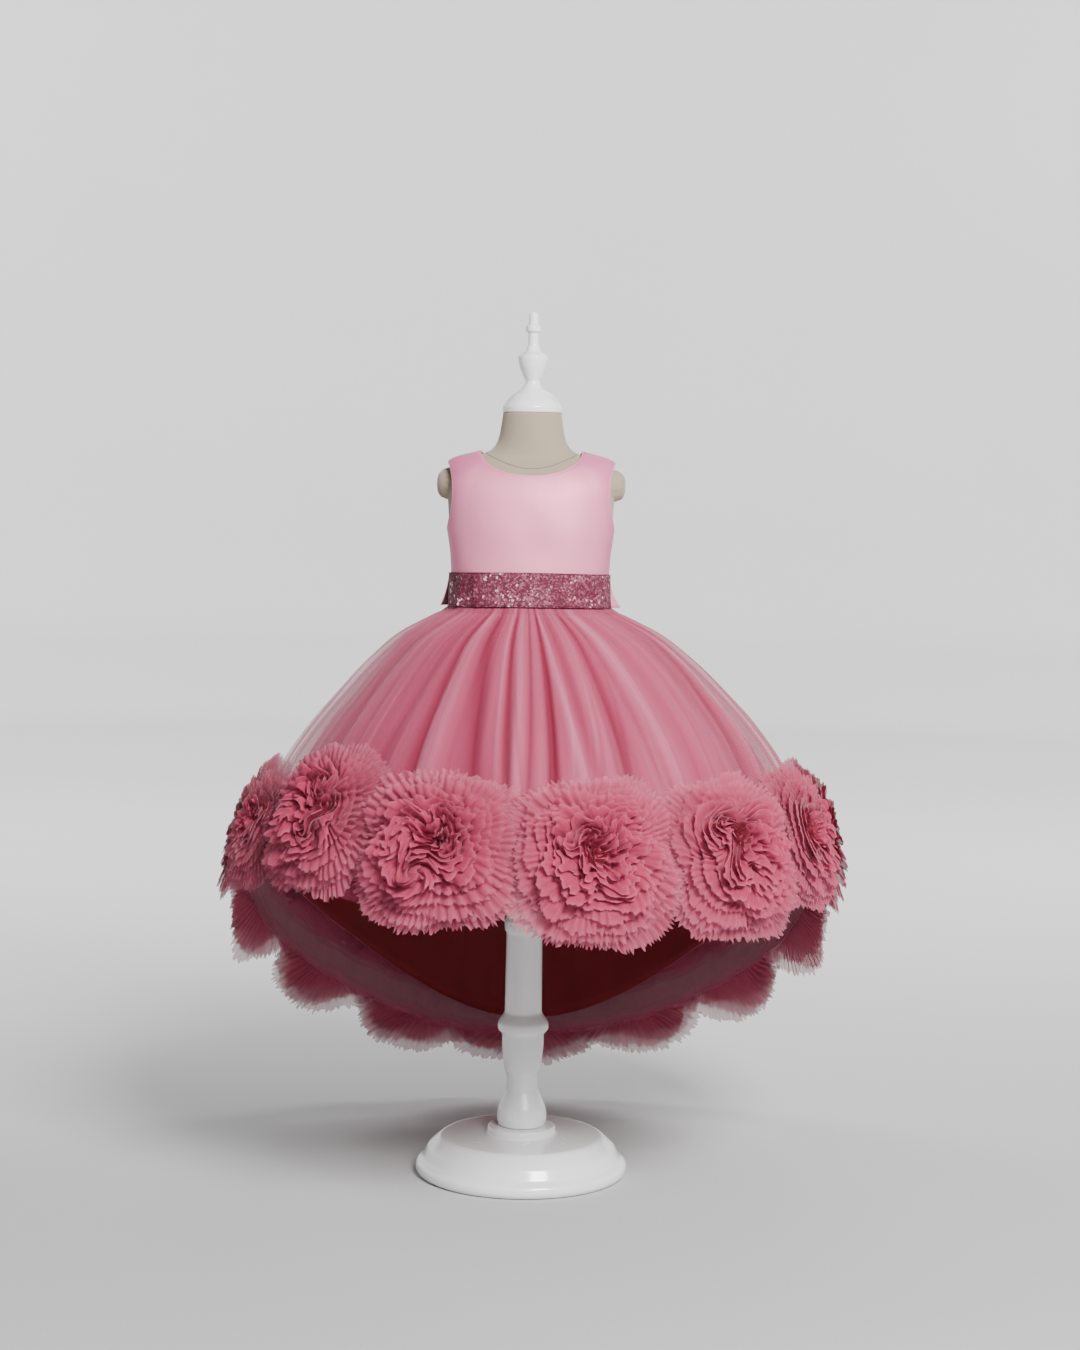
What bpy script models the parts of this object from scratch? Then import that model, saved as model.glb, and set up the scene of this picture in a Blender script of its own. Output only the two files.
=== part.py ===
"""A small child's ball gown on a limbless dress form.

Metres, +Z up, the wearer's front towards -Y and left side towards +X.  The origin is on the
floor, under the middle of the stand.  Azimuth is measured round the upright axis in degrees, 0 at the
front and positive towards +X.  Every cloth piece is a thin closed wall on the form below it.
"""
import math

import bmesh
import bpy
import numpy as np

# ---- sizes shared by several pieces ----
SEAM_GAP = 0.0003          # clearance between two pieces that are sewn together
WAIST_EASE = 0.0010        # air between the form and the bodice, close at the waist
CHEST_EASE = 0.0048        # and looser over the chest and shoulders
EASE_FROM, EASE_TO = 0.785, 0.845   # heights between which the one turns into the other
SATIN = 0.0015             # bodice wall
TULLE = 0.0014             # skirt wall
WAIST_Z = 0.7217           # seam between bodice and skirt
SIDE_SEAM = 90.0           # azimuth of the side seams

# ---- dress form: a row for each section of the torso, neck and shoulders ----
# columns: z, half_width, front and back depth, squareness of the oval
TORSO = np.array([
    (0.5900, 0.0700, 0.0550, 0.0550, 2.2),
    (0.5945, 0.0900, 0.0720, 0.0720, 2.2),
    (0.6060, 0.1005, 0.0820, 0.0840, 2.3),
    (0.6450, 0.1050, 0.0890, 0.0910, 2.3),
    (0.6900, 0.0990, 0.0830, 0.0820, 2.3),
    (0.7250, 0.0958, 0.0785, 0.0735, 2.3),
    (0.7750, 0.0972, 0.0785, 0.0745, 2.4),
    (0.8150, 0.1010, 0.0780, 0.0770, 2.5),
    (0.8500, 0.1036, 0.0740, 0.0775, 2.4),
    (0.8680, 0.1040, 0.0680, 0.0735, 2.4),
    (0.8820, 0.1035, 0.0600, 0.0670, 2.3),
    (0.8900, 0.1015, 0.0545, 0.0610, 2.2),
    (0.8960, 0.0975, 0.0490, 0.0555, 2.1),
    (0.9005, 0.0890, 0.0445, 0.0510, 2.0),
    (0.9040, 0.0775, 0.0415, 0.0470, 2.0),
    (0.9070, 0.0670, 0.0400, 0.0445, 2.0),
    (0.9100, 0.0575, 0.0395, 0.0430, 2.0),
    (0.9170, 0.0475, 0.0390, 0.0420, 2.0),
    (0.9300, 0.0410, 0.0385, 0.0400, 2.0),
    (0.9600, 0.0362, 0.0362, 0.0365, 2.0),
])
FORM_SIDES = 36
STUMP_REACH = 0.0135       # how far the shoulder ends stand out of the armholes
STUMP_Z, STUMP_HALF_HEIGHT, STUMP_HALF_DEPTH = 0.8710, 0.0200, 0.0240

# ---- turned wood: radius and height down each outer side, from the axis to the axis ----
NECK_CAP = (
    (0.0000, 1.0845), (0.0042, 1.0836), (0.0062, 1.0805), (0.0062, 1.0692), (0.0097, 1.0670),
    (0.0097, 1.0605), (0.0066, 1.0585), (0.0066, 1.0440), (0.0105, 1.0350), (0.0187, 1.0300),
    (0.0187, 1.0245), (0.0168, 1.0160), (0.0125, 1.0060), (0.0090, 1.0000), (0.0096, 0.9960),
    (0.0150, 0.9885), (0.0250, 0.9830), (0.0330, 0.9750), (0.0372, 0.9670), (0.0372, 0.9603),
    (0.0000, 0.9603),
)
POST = (
    (0.0000, 0.5897), (0.0230, 0.5897), (0.0230, 0.3260), (0.0252, 0.3225), (0.0252, 0.3105),
    (0.0228, 0.3070), (0.0236, 0.2050), (0.0300, 0.1960), (0.0323, 0.1915), (0.0323, 0.1835),
    (0.0264, 0.1780), (0.0264, 0.1640), (0.0234, 0.1320), (0.0200, 0.1240), (0.0200, 0.1060),
    (0.0300, 0.0835), (0.0318, 0.0710), (0.0300, 0.0603), (0.0000, 0.0603),
)
BASE = (
    (0.0000, 0.0600), (0.0420, 0.0600), (0.0432, 0.0560), (0.0432, 0.0500), (0.1000, 0.0480),
    (0.1045, 0.0455), (0.1190, 0.0330), (0.1250, 0.0200), (0.1320, 0.0150), (0.1340, 0.0110),
    (0.1340, 0.0050), (0.1300, 0.0000), (0.0000, 0.0000),
)
TURNED_SIDES = {"neck_cap": 16, "post": 16, "base": 32}

# ---- bodice ----
FRONT_NECK = {"half_width": 0.0620, "z_shoulder": 0.9085, "z_middle": 0.8795}
BACK_NECK = {"half_width": 0.0620, "z_shoulder": 0.9085, "z_middle": 0.8975}
ARMHOLE = {"z_top": 0.8968, "z_bottom": 0.8140, "depth": 0.0400}
STRAP_SHARE = 0.36         # share of half a panel's top edge that the shoulder seam takes
STRAP_FROM = 0.60          # share of the way up from which the rows rise towards the neck
SIDE_SHARE = 0.385         # share of the side edge that lies below the armhole
ARM_SPREAD = 0.06          # sets the rows closer together at both ends of the armhole
NECK_SPREAD = 1.3          # sets the columns closer together beside the shoulder
BODICE_ROWS, BODICE_COLUMNS_FRONT, BODICE_COLUMNS_BACK = 14, 24, 12
DEGREE_WIDTH = 0.0016      # width of a degree of azimuth round the chest
EVENING_PASSES = 400       # rounds of evening out each panel's grid
ZIP_HALF_WIDTH = 0.0030

# ---- sash: glitter band in front, satin ends that run round to the back ----
SASH = {"top": 0.7597, "bottom": 0.7190, "front_lift": 0.0040, "proud": 0.0016, "wall": 0.0015,
        "air": 0.0009}
SASH_END_FLARE = 0.0100    # how far the lower edge of the satin ends stands off the gathers

# ---- skirt: height and radius of the tulle, then azimuth and height of the two hems ----
SKIRT_PROFILE = np.array([
    (0.7217, 0.0985), (0.7180, 0.0995), (0.7080, 0.1200), (0.6890, 0.1580), (0.6540, 0.2037),
    (0.6120, 0.2457), (0.5680, 0.2848), (0.5300, 0.3125), (0.5000, 0.3295), (0.4500, 0.3500),
    (0.4000, 0.3625), (0.3000, 0.3705), (0.2000, 0.3690), (0.0500, 0.3600),
])
FOLD_START, FOLD_GROWTH = 0.035, 0.33   # shares of the way down where folds start, and grow
WAIST_REACH = 0.40         # share of the way down over which the waist's oval turns round
TULLE_HEM = np.array([
    (0, 0.396), (30, 0.394), (60, 0.402), (80, 0.392), (100, 0.342), (116, 0.262),
    (133, 0.193), (150, 0.137), (165, 0.105), (180, 0.098),
])
LINING_HEM = np.array([
    (0, 0.430), (60, 0.430), (90, 0.405), (113, 0.336), (134, 0.258), (150, 0.193),
    (161, 0.155), (173, 0.130), (180, 0.126),
])
TULLE_ROWS = (0.0, 0.006, 0.05, 0.14, 0.30, 0.52, 0.76, 1.0)   # waist to the hem band
BAND_ROWS = (0.33, 0.66, 1.0)     # hem band, which lies flat under the rosettes
BAND_HEIGHT, BAND_FADE = 0.126, 0.050
LINING_ROWS = (0.0, 0.06, 0.15, 0.32, 0.62, 1.0)
TULLE_COLUMNS, LINING_COLUMNS = 50, 26
LINING_TOP_Z = 0.7110
LINING_INSET = ((0.0, 0.0009), (0.06, 0.0080), (0.15, 0.0160), (0.32, 0.0210), (1.0, 0.0270))
GATHERS, GATHER_DEPTH = 22, 0.0022
# main folds, columns: azimuth, half_width in degrees, rise off the smooth skirt
FOLDS = np.array([
    (-71, 5.0, 0.0050), (-56, 5.0, -0.0050), (-43, 5.0, 0.0050), (-28, 3.6, -0.0085),
    (-22, 4.5, 0.0055), (-9, 4.2, -0.0080), (-3, 3.6, 0.0045), (3, 3.0, -0.0085),
    (10, 3.6, 0.0070), (17, 3.4, -0.0065), (27, 5.5, 0.0085), (38, 4.0, -0.0055),
    (50, 3.6, -0.0080), (57, 4.5, 0.0070), (72, 5.0, -0.0050),
    (103, 5.0, 0.0060), (116, 4.0, -0.0070), (128, 5.0, 0.0060), (143, 4.0, -0.0070),
    (156, 5.0, 0.0060), (169, 4.0, -0.0065), (181, 5.0, 0.0055), (195, 4.0, -0.0070),
    (209, 5.0, 0.0060), (222, 4.0, -0.0065), (236, 5.0, 0.0060), (250, 4.0, -0.0060),
])

# ---- hem rosettes: azimuth, height of the middle above the tulle hem, turn of the ruffle ----
ROSETTES = (
    (-17.0, 0.070, 10), (11.5, 0.062, 50), (40.0, 0.056, 85), (69.0, 0.076, 20),
    (96.0, 0.078, 65), (118.0, 0.074, 5), (139.0, 0.055, 40), (159.5, 0.045, 75),
    (180.5, 0.045, 30), (201.5, 0.040, 55), (222.0, 0.055, 15), (243.0, 0.076, 70),
    (265.0, 0.074, 35), (291.0, 0.072, 60), (316.0, 0.086, 25),
)
ROSETTE_SIDES, ROSETTE_WAVES = 20, 5
ROSETTE_REACH, ROSETTE_AIR = 0.088, 0.0015   # largest radius, and air to the next one
ROSETTE_SEAT = 0.0009      # air between a rosette's backing and the tulle
ROSETTE_HEART = 0.0180     # height of the bottom of the heart's hollow
# rings of a rosette, columns: share of its reach, height off the skirt, depth of the wave
FRILLS = np.array([
    (0.26, 0.0000, 0.0000),     # edge of the backing, on the skirt
    (1.00, 0.0135, 0.0075),     # outer frill, under its edge
    (0.99, 0.0160, 0.0075),     # outer frill, upper side of its edge
    (0.32, 0.0060, 0.0000),     # foot of the second frill
    (0.74, 0.0345, -0.0065),
    (0.70, 0.0365, -0.0065),
    (0.26, 0.0090, 0.0000),     # foot of the plain heart
    (0.42, 0.0450, 0.0000),
    (0.30, 0.0440, 0.0000),
])

MATERIALS = {
    "satin": ((0.71, 0.42, 0.50), 0.38, 0.0),
    "glitter": ((0.34, 0.13, 0.19), 0.35, 0.3),
    "tulle": ((0.58, 0.21, 0.29), 0.80, 0.0),
    "lining": ((0.25, 0.03, 0.05), 0.60, 0.0),
    "ruffle": ((0.56, 0.18, 0.25), 0.85, 0.0),
    "linen": ((0.60, 0.55, 0.48), 0.85, 0.0),
    "white_paint": ((0.80, 0.78, 0.77), 0.22, 0.0),
    "zip_tape": ((0.60, 0.33, 0.40), 0.70, 0.0),
}


# ---------------------------------------------------------------- making objects
def material(slot):
    """One Principled material for each finish, made the first time it is asked for."""
    if slot in bpy.data.materials:
        return bpy.data.materials[slot]
    colour, roughness, metallic = MATERIALS[slot]
    made = bpy.data.materials.new(slot)
    made.use_nodes = True
    shader = made.node_tree.nodes["Principled BSDF"]
    shader.inputs["Base Color"].default_value = (*colour, 1.0)
    shader.inputs["Roughness"].default_value = roughness
    shader.inputs["Metallic"].default_value = metallic
    return made


def add_object(name, mesh, slot, sharp_angle=40.0):
    mesh.materials.append(material(slot))
    mesh.shade_smooth()
    mesh.set_sharp_from_angle(angle=math.radians(sharp_angle))
    made = bpy.data.objects.new(name, mesh)
    bpy.context.collection.objects.link(made)
    return made


def mesh_from_faces(name, points, faces):
    mesh = bpy.data.meshes.new(name)
    mesh.from_pydata([tuple(p) for p in points], [], faces)
    mesh.validate()
    shape = bmesh.new()
    shape.from_mesh(mesh)
    bmesh.ops.recalc_face_normals(shape, faces=shape.faces)
    shape.to_mesh(mesh)
    shape.free()
    return mesh


def wall(name, outer, inner, slot):
    """A closed wall between two grids of points, joined all round its four edges.

    Both sheets are split along the same diagonals, so a twisted cell keeps its thickness.
    """
    rows, columns = outer.shape[:2]
    points = np.concatenate([outer.reshape(-1, 3), inner.reshape(-1, 3)])
    front = np.arange(rows * columns).reshape(rows, columns)
    step = rows * columns
    faces = []
    for row in range(rows - 1):
        for column in range(columns - 1):
            a, b = front[row, column], front[row, column + 1]
            d, c = front[row + 1, column], front[row + 1, column + 1]
            faces += [[a, b, c], [a, c, d]]
            faces += [[c + step, b + step, a + step], [d + step, c + step, a + step]]
    rim = list(front[0, :]) + list(front[1:, -1]) + list(front[-1, -2::-1]) + list(front[-2:0:-1, 0])
    for here, there in zip(rim, rim[1:] + rim[:1]):
        faces.append([there, here, here + step, there + step])
    faces = [[int(v) for v in face] for face in faces]
    return add_object(name, mesh_from_faces(name, points, faces), slot)


def loft(name, rings, slot, first_pole=None, last_pole=None):
    """A closed body through rings of equal count, ended by flat caps or by pole points."""
    count, sides = rings.shape[:2]
    points = list(rings.reshape(-1, 3))
    index = np.arange(count * sides).reshape(count, sides)
    faces = []
    for row in range(count - 1):
        for side in range(sides):
            turn = (side + 1) % sides
            faces.append([index[row, side], index[row, turn],
                          index[row + 1, turn], index[row + 1, side]])
    for pole, ring in ((first_pole, index[0][::-1]), (last_pole, index[-1])):
        if pole is None:
            faces.append(list(ring))
            continue
        points.append(pole)
        for side in range(sides):
            faces.append([ring[side], ring[(side + 1) % sides], len(points) - 1])
    faces = [[int(v) for v in face] for face in faces]
    return add_object(name, mesh_from_faces(name, points, faces), slot)


def turned(name, profile, sides, slot):
    """A profile from axis to axis, spun round the upright axis."""
    shape = bmesh.new()
    points = [shape.verts.new((radius, 0.0, height)) for radius, height in profile]
    lines = [shape.edges.new(pair) for pair in zip(points, points[1:])]
    bmesh.ops.spin(shape, geom=points + lines, cent=(0, 0, 0), axis=(0, 0, 1),
                   angle=2 * math.pi, steps=sides, use_merge=True)
    bmesh.ops.remove_doubles(shape, verts=shape.verts, dist=0.00001)
    bmesh.ops.recalc_face_normals(shape, faces=shape.faces)
    mesh = bpy.data.meshes.new(name)
    shape.to_mesh(mesh)
    shape.free()
    return add_object(name, mesh, slot, 30.0)


# ---------------------------------------------------------------- the form's surface
def section(azimuth, row):
    """Point of the torso at an azimuth and a row of TORSO, which may lie between two rows."""
    azimuth, row = np.broadcast_arrays(np.asarray(azimuth, float), np.asarray(row, float))
    rows = np.arange(len(TORSO))
    z, half_width, front, back, square = (np.interp(row, rows, column) for column in TORSO.T)
    across, along = np.sin(np.radians(azimuth)), -np.cos(np.radians(azimuth))
    depth = np.where(along < 0, front, back)
    radius = ((np.abs(across) / half_width) ** square
              + (np.abs(along) / depth) ** square) ** (-1 / square)
    return np.stack([radius * across, radius * along, z], axis=-1)


def ease_at(row):
    """Air under the bodice at a row of the torso."""
    height = np.interp(row, np.arange(len(TORSO)), TORSO[:, 0])
    share = np.clip((height - EASE_FROM) / (EASE_TO - EASE_FROM), 0, 1)
    return WAIST_EASE + (CHEST_EASE - WAIST_EASE) * share * share * (3 - 2 * share)


def off_form(azimuth, row, distance):
    """Point at a distance straight out from the air that the bodice leaves over the torso."""
    azimuth, row = np.broadcast_arrays(azimuth, row)
    sideways = section(azimuth + 1.0, row) - section(azimuth - 1.0, row)
    upwards = section(azimuth, row + 0.35) - section(azimuth, row - 0.35)
    normal = np.cross(sideways, upwards)
    normal /= np.linalg.norm(normal, axis=-1, keepdims=True)
    return section(azimuth, row) + normal * (ease_at(row) + distance)[..., None]


def row_at(z):
    return np.interp(z, TORSO[:, 0], np.arange(len(TORSO)))


def azimuth_of(x=None, y=None, row=0.0, front=True):
    """Azimuth, from 0 to 180, of the torso point in a row that has a given x or y."""
    rows = np.arange(len(TORSO))
    half_width, depth, square = (np.interp(row, rows, TORSO[:, column])
                                 for column in (1, 2 if front else 3, 4))
    if x is None:
        x = half_width * (1 - np.minimum(np.abs(y) / depth, 1) ** square) ** (1 / square)
    else:
        y = depth * (1 - np.minimum(np.abs(x) / half_width, 1) ** square) ** (1 / square)
    turn = np.degrees(np.arctan2(np.abs(x), np.abs(y)))
    return turn if front else 180.0 - turn


def make_form():
    turn = np.linspace(0, 2 * math.pi, FORM_SIDES, endpoint=False)
    azimuth = np.degrees(turn + 0.2 * np.sin(2 * turn))
    rings = section(azimuth[None, :], np.arange(len(TORSO))[:, None])
    reach = np.sqrt((rings[..., 1] / STUMP_HALF_DEPTH) ** 2
                    + ((rings[..., 2] - STUMP_Z) / STUMP_HALF_HEIGHT) ** 2)
    swell = STUMP_REACH * np.sqrt(np.clip(1 - reach ** 3, 0, 1))
    rings[..., 0] += np.sign(rings[..., 0]) * swell
    loft("form_torso", rings, "linen")
    for name, profile in (("neck_cap", NECK_CAP), ("post", POST), ("base", BASE)):
        turned(name, profile, TURNED_SIDES[name], "white_paint")


# ---------------------------------------------------------------- bodice
def neck_edge(share, cut, front):
    """Neckline from the shoulder (0) to the middle (1), an ellipse when seen from in front."""
    turn = share * math.pi / 2
    x = cut["half_width"] * np.cos(turn)
    row = row_at(cut["z_shoulder"] - (cut["z_shoulder"] - cut["z_middle"]) * np.sin(turn))
    return azimuth_of(x=x, row=row, front=front), row


def arm_edge(share, front):
    """Armhole from the underarm (0) to the shoulder tip (1)."""
    height = ARMHOLE["z_bottom"] + (ARMHOLE["z_top"] - ARMHOLE["z_bottom"]) * (
        1 - np.cos(math.pi * share)) / 2
    row = row_at(height)
    depth = ARMHOLE["depth"] * np.sin(math.pi * share).clip(0) ** 0.9
    return azimuth_of(y=depth, row=row, front=front), row


def seam_turn(row):
    """Angle at the side that leaves half the seam gap, as wide at every row."""
    half_width = np.interp(row, np.arange(len(TORSO)), TORSO[:, 1])
    return np.degrees(SEAM_GAP / 2 / half_width)


def even_grid(turn, rows):
    """Move a grid's inner points so that its lines run smoothly between the edges and never cross.

    Each pass is one step of the equation a * across'' - 2 b * twist + c * up'' = 0, in metres
    along the form.
    """
    numbers = np.arange(len(TORSO))
    steps = np.hypot(np.diff(TORSO[:, 0]), np.diff(TORSO[:, 1]))
    length = np.concatenate([[0.0], np.cumsum(steps)])
    place = np.stack([turn * DEGREE_WIDTH, np.interp(rows, numbers, length)], axis=-1)
    for _ in range(EVENING_PASSES):
        left, right = place[1:-1, :-2], place[1:-1, 2:]
        below, above = place[:-2, 1:-1], place[2:, 1:-1]
        across, up = (right - left) / 2, (above - below) / 2
        twist = (place[2:, 2:] - place[2:, :-2] - place[:-2, 2:] + place[:-2, :-2]) / 4
        a, c = (up ** 2).sum(-1, keepdims=True), (across ** 2).sum(-1, keepdims=True)
        b = (across * up).sum(-1, keepdims=True)
        place[1:-1, 1:-1] = (a * (left + right) + c * (below + above) - 2 * b * twist) / (2 * (a + c))
    return place[..., 0] / DEGREE_WIDTH, np.interp(place[..., 1], length, numbers)


def half_panel(front, columns, middle_gap=0.0):
    """Azimuths and rows over one half panel, from its side edge to its middle edge.

    The side edge is the side seam and then the armhole, the top edge the shoulder seam and then
    the neckline.  The armhole's bend is kept whole across the strap and fades to the middle.
    Azimuths run from the side seam (90) to 0 in front or to 180 behind.
    """
    cut = FRONT_NECK if front else BACK_NECK
    across = np.linspace(0, 1, columns)[None, :]
    up = np.linspace(0, 1, BODICE_ROWS)[:, None]
    side_row, neck_row = row_at(ARMHOLE["z_bottom"]), row_at(cut["z_shoulder"])
    waist_row, tip_row = row_at(WAIST_Z), row_at(ARMHOLE["z_top"])

    seam = np.clip(across / STRAP_SHARE, 0, 1)
    neck = np.clip((across - STRAP_SHARE) / (1 - STRAP_SHARE), 0, 1) ** NECK_SPREAD
    neck_turn, neck_rows = neck_edge(neck, cut, front)
    in_strap = across <= STRAP_SHARE
    top_turn = np.where(in_strap, 90.0, neck_turn)
    top_rows = np.where(in_strap, tip_row + (neck_row - tip_row) * seam, neck_rows)

    arm = np.clip((up - SIDE_SHARE) / (1 - SIDE_SHARE), 0, 1)
    arm_turn, arm_rows = arm_edge(arm - ARM_SPREAD * np.sin(2 * math.pi * arm), front)
    on_side = up <= SIDE_SHARE
    side_turn = np.where(on_side, 90.0, arm_turn)
    side_rows = np.where(on_side, waist_row + (side_row - waist_row) * up / SIDE_SHARE, arm_rows)

    keep = (1 - neck) ** 2
    rise = np.clip((up - STRAP_FROM) / (1 - STRAP_FROM), 0, 1) ** 2
    waist_turn = 90.0 * (1 - across) if front else 90.0 * (1 + across)
    turn = (1 - up) * waist_turn + up * top_turn + keep * (side_turn - 90.0)
    rows = (keep * (side_rows + (top_rows - tip_row) * rise)
            + (1 - keep) * (waist_row + (top_rows - waist_row) * up))
    turn, rows = even_grid(turn, rows)
    gap = seam_turn(rows)
    if front:
        return np.minimum(turn, 90.0 - gap), rows
    radius = np.linalg.norm(section(turn, rows)[..., :2], axis=-1)
    return np.clip(turn, 90.0 + gap, 180.0 - np.degrees(middle_gap / radius)), rows


def make_bodice():
    turn, rows = half_panel(True, BODICE_COLUMNS_FRONT // 2 + 1)
    turn = np.concatenate([-turn, turn[:, -2::-1]], axis=1)
    rows = np.concatenate([rows, rows[:, -2::-1]], axis=1)
    wall("bodice_front", off_form(turn, rows, SATIN), off_form(turn, rows, 0.0), "satin")
    turn, rows = half_panel(False, BODICE_COLUMNS_BACK + 1, ZIP_HALF_WIDTH + SEAM_GAP)
    for name, sign in (("bodice_back_left", 1), ("bodice_back_right", -1)):
        wall(name, off_form(sign * turn, rows, SATIN), off_form(sign * turn, rows, 0.0),
             "satin")
    make_zip(rows[:, -1])


def make_zip(rows):
    """Closed concealed zip between the two back panels, waist to neck."""
    half_turn = np.degrees(ZIP_HALF_WIDTH / np.linalg.norm(section(180.0, rows)[:, :2], axis=-1))
    turn = 180.0 + half_turn[:, None] * np.array([-1.0, 0.0, 1.0])[None]
    rows = np.repeat(rows[:, None], 3, axis=1)
    wall("back_zip", off_form(turn, rows, SATIN), off_form(turn, rows, 0.0), "zip_tape")


# ---------------------------------------------------------------- sash
def sash_band(name, turns, slot, flare):
    """A band round the waist, three heights, its lower edge standing off by flare."""
    share = np.array([0.0, 0.5, 1.0])[:, None]
    lift = SASH["front_lift"] * np.cos(np.radians(turns))[None, :]
    height = SASH["bottom"] + (SASH["top"] - SASH["bottom"]) * share + lift
    stand_off = SATIN + SASH["air"] + SASH["proud"] * (1 - share) ** 2
    stand_off = stand_off + flare[None, :] * (1 - share) ** 1.5
    rows = row_at(height)
    inner = off_form(turns[None, :], rows, stand_off)
    outer = off_form(turns[None, :], rows, stand_off + SASH["wall"])
    inner[..., 2] = outer[..., 2] = height
    wall(name, outer, inner, slot)


def make_sash():
    end = SIDE_SEAM - 0.1
    front = np.linspace(-end, end, 27)
    sash_band("sash_front", front, "glitter", np.zeros(27))
    back = np.linspace(SIDE_SEAM + 0.1, 179.8, 14)
    share = (back - SIDE_SEAM) / 90.0
    flare = SASH_END_FLARE * (0.9 + 0.1 * np.cos(2 * math.pi * share))
    for name, sign in (("sash_end_left", 1), ("sash_end_right", -1)):
        sash_band(name, sign * back, "satin", flare)


# ---------------------------------------------------------------- skirt
def turn_between(here, there):
    """Smallest angle between two azimuths, in degrees."""
    return (here - there + 180.0) % 360.0 - 180.0


def hem_height(azimuth, table):
    away = np.abs(turn_between(azimuth, 0.0))
    return smooth_curve(away, table[:, 0], table[:, 1])


def fold_rise(azimuth):
    """How far the tulle stands out at an azimuth: fine uneven gathers and the main folds."""
    angle = np.radians(azimuth)
    rise = GATHER_DEPTH * np.cos(GATHERS * angle + 1.4 * np.sin(3 * angle))
    for centre, half_width, height in FOLDS:
        rise = rise + height * np.exp(-(turn_between(azimuth, centre) / half_width) ** 2)
    return rise


def smooth_curve(at, places, values):
    """Curve through the rows of a table with the slope at each row shared by its neighbours."""
    slope = np.gradient(values, places)
    index = np.clip(np.searchsorted(places, at) - 1, 0, len(places) - 2)
    step = places[index + 1] - places[index]
    t = np.clip((at - places[index]) / step, 0, 1)
    return ((2 * t ** 3 - 3 * t ** 2 + 1) * values[index] + (3 * t ** 2 - 2 * t ** 3) * values[index + 1]
            + step * ((t ** 3 - 2 * t ** 2 + t) * slope[index] + (t ** 3 - t ** 2) * slope[index + 1]))


def skirt_radius(z):
    return smooth_curve(np.asarray(z, float), SKIRT_PROFILE[::-1, 0], SKIRT_PROFILE[::-1, 1])


def skirt_point(azimuth, z, inset=0.0, folds=1.0):
    """Point of the tulle at an azimuth and height; folds die out at the waist and by the hem."""
    azimuth, z = np.broadcast_arrays(np.asarray(azimuth, float), np.asarray(z, float))
    angle = np.radians(azimuth)
    down = (WAIST_Z - z) / (WAIST_Z - hem_height(azimuth, TULLE_HEM))
    above_hem = z - hem_height(azimuth, TULLE_HEM)
    strength = (np.clip((down - FOLD_START) / FOLD_GROWTH, 0, 1)
                * np.clip((above_hem - BAND_HEIGHT) / BAND_FADE, 0, 1))
    waist = np.linalg.norm(section(azimuth, row_at(WAIST_Z))[..., :2], axis=-1) + WAIST_EASE + SATIN
    flat = (skirt_radius(WAIST_Z) - waist) * np.clip(1 - down / WAIST_REACH, 0, 1)
    radius = skirt_radius(z) - flat + folds * strength * fold_rise(azimuth) - inset
    return np.stack([radius * np.sin(angle), -radius * np.cos(angle), z], axis=-1)


def skirt_heights(turns):
    """Heights of the tulle's rows: even shares down to the hem band, then the band's own."""
    hem = hem_height(turns, TULLE_HEM)[None, :]
    top, band = WAIST_Z - SEAM_GAP, hem + BAND_HEIGHT
    upper = top + (band - top) * np.array(TULLE_ROWS)[:, None]
    return np.concatenate([upper, band + (hem - band) * np.array(BAND_ROWS)[:, None]])


def panel_turns(front, columns):
    """Azimuths of a panel from seam to seam, front or back, half a seam gap short of each."""
    end = 90.0 - np.degrees(SEAM_GAP / 2 / 0.10)
    turns = np.linspace(-end, end, columns)
    return turns if front else 180.0 + turns


def close_to_seam(points, side, front):
    """Keep a panel's edge column half a gap from the side seam's plane."""
    points[:, side, 1] = -SEAM_GAP / 2 if front else SEAM_GAP / 2


def make_skirt():
    for name, front in (("skirt_front", True), ("skirt_back", False)):
        turns = panel_turns(front, TULLE_COLUMNS)
        height = skirt_heights(turns)
        outer, inner = skirt_point(turns, height), skirt_point(turns, height, TULLE)
        for side in (0, -1):
            close_to_seam(outer, side, front)
            close_to_seam(inner, side, front)
        wall(name, outer, inner, "tulle")
    for name, front in (("lining_front", True), ("lining_back", False)):
        turns = panel_turns(front, LINING_COLUMNS)
        share = np.array(LINING_ROWS)[:, None]
        hem = hem_height(turns, LINING_HEM)[None, :]
        height = LINING_TOP_Z + (hem - LINING_TOP_Z) * share
        inset = TULLE + np.interp(share, *zip(*LINING_INSET)) + 0.0 * hem
        outer = skirt_point(turns, height, inset, 0.0)
        inner = skirt_point(turns, height, inset + TULLE, 0.0)
        for side in (0, -1):
            close_to_seam(outer, side, front)
            close_to_seam(inner, side, front)
        wall(name, outer, inner, "lining")


# ---------------------------------------------------------------- hem rosettes
def skirt_frame(azimuth, z):
    """Point of the skirt with its sideways, upward and outward directions."""
    centre = skirt_point(azimuth, z)
    sideways = skirt_point(azimuth + 1.0, z) - skirt_point(azimuth - 1.0, z)
    upward = skirt_point(azimuth, z + 0.004) - skirt_point(azimuth, z - 0.004)
    sideways /= np.linalg.norm(sideways)
    outward = np.cross(sideways, upward)
    outward /= np.linalg.norm(outward)
    return centre, sideways, np.cross(outward, sideways), outward


def rosette_frame(azimuth, above_hem):
    return skirt_frame(azimuth, hem_height(azimuth, TULLE_HEM) + above_hem)


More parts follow.
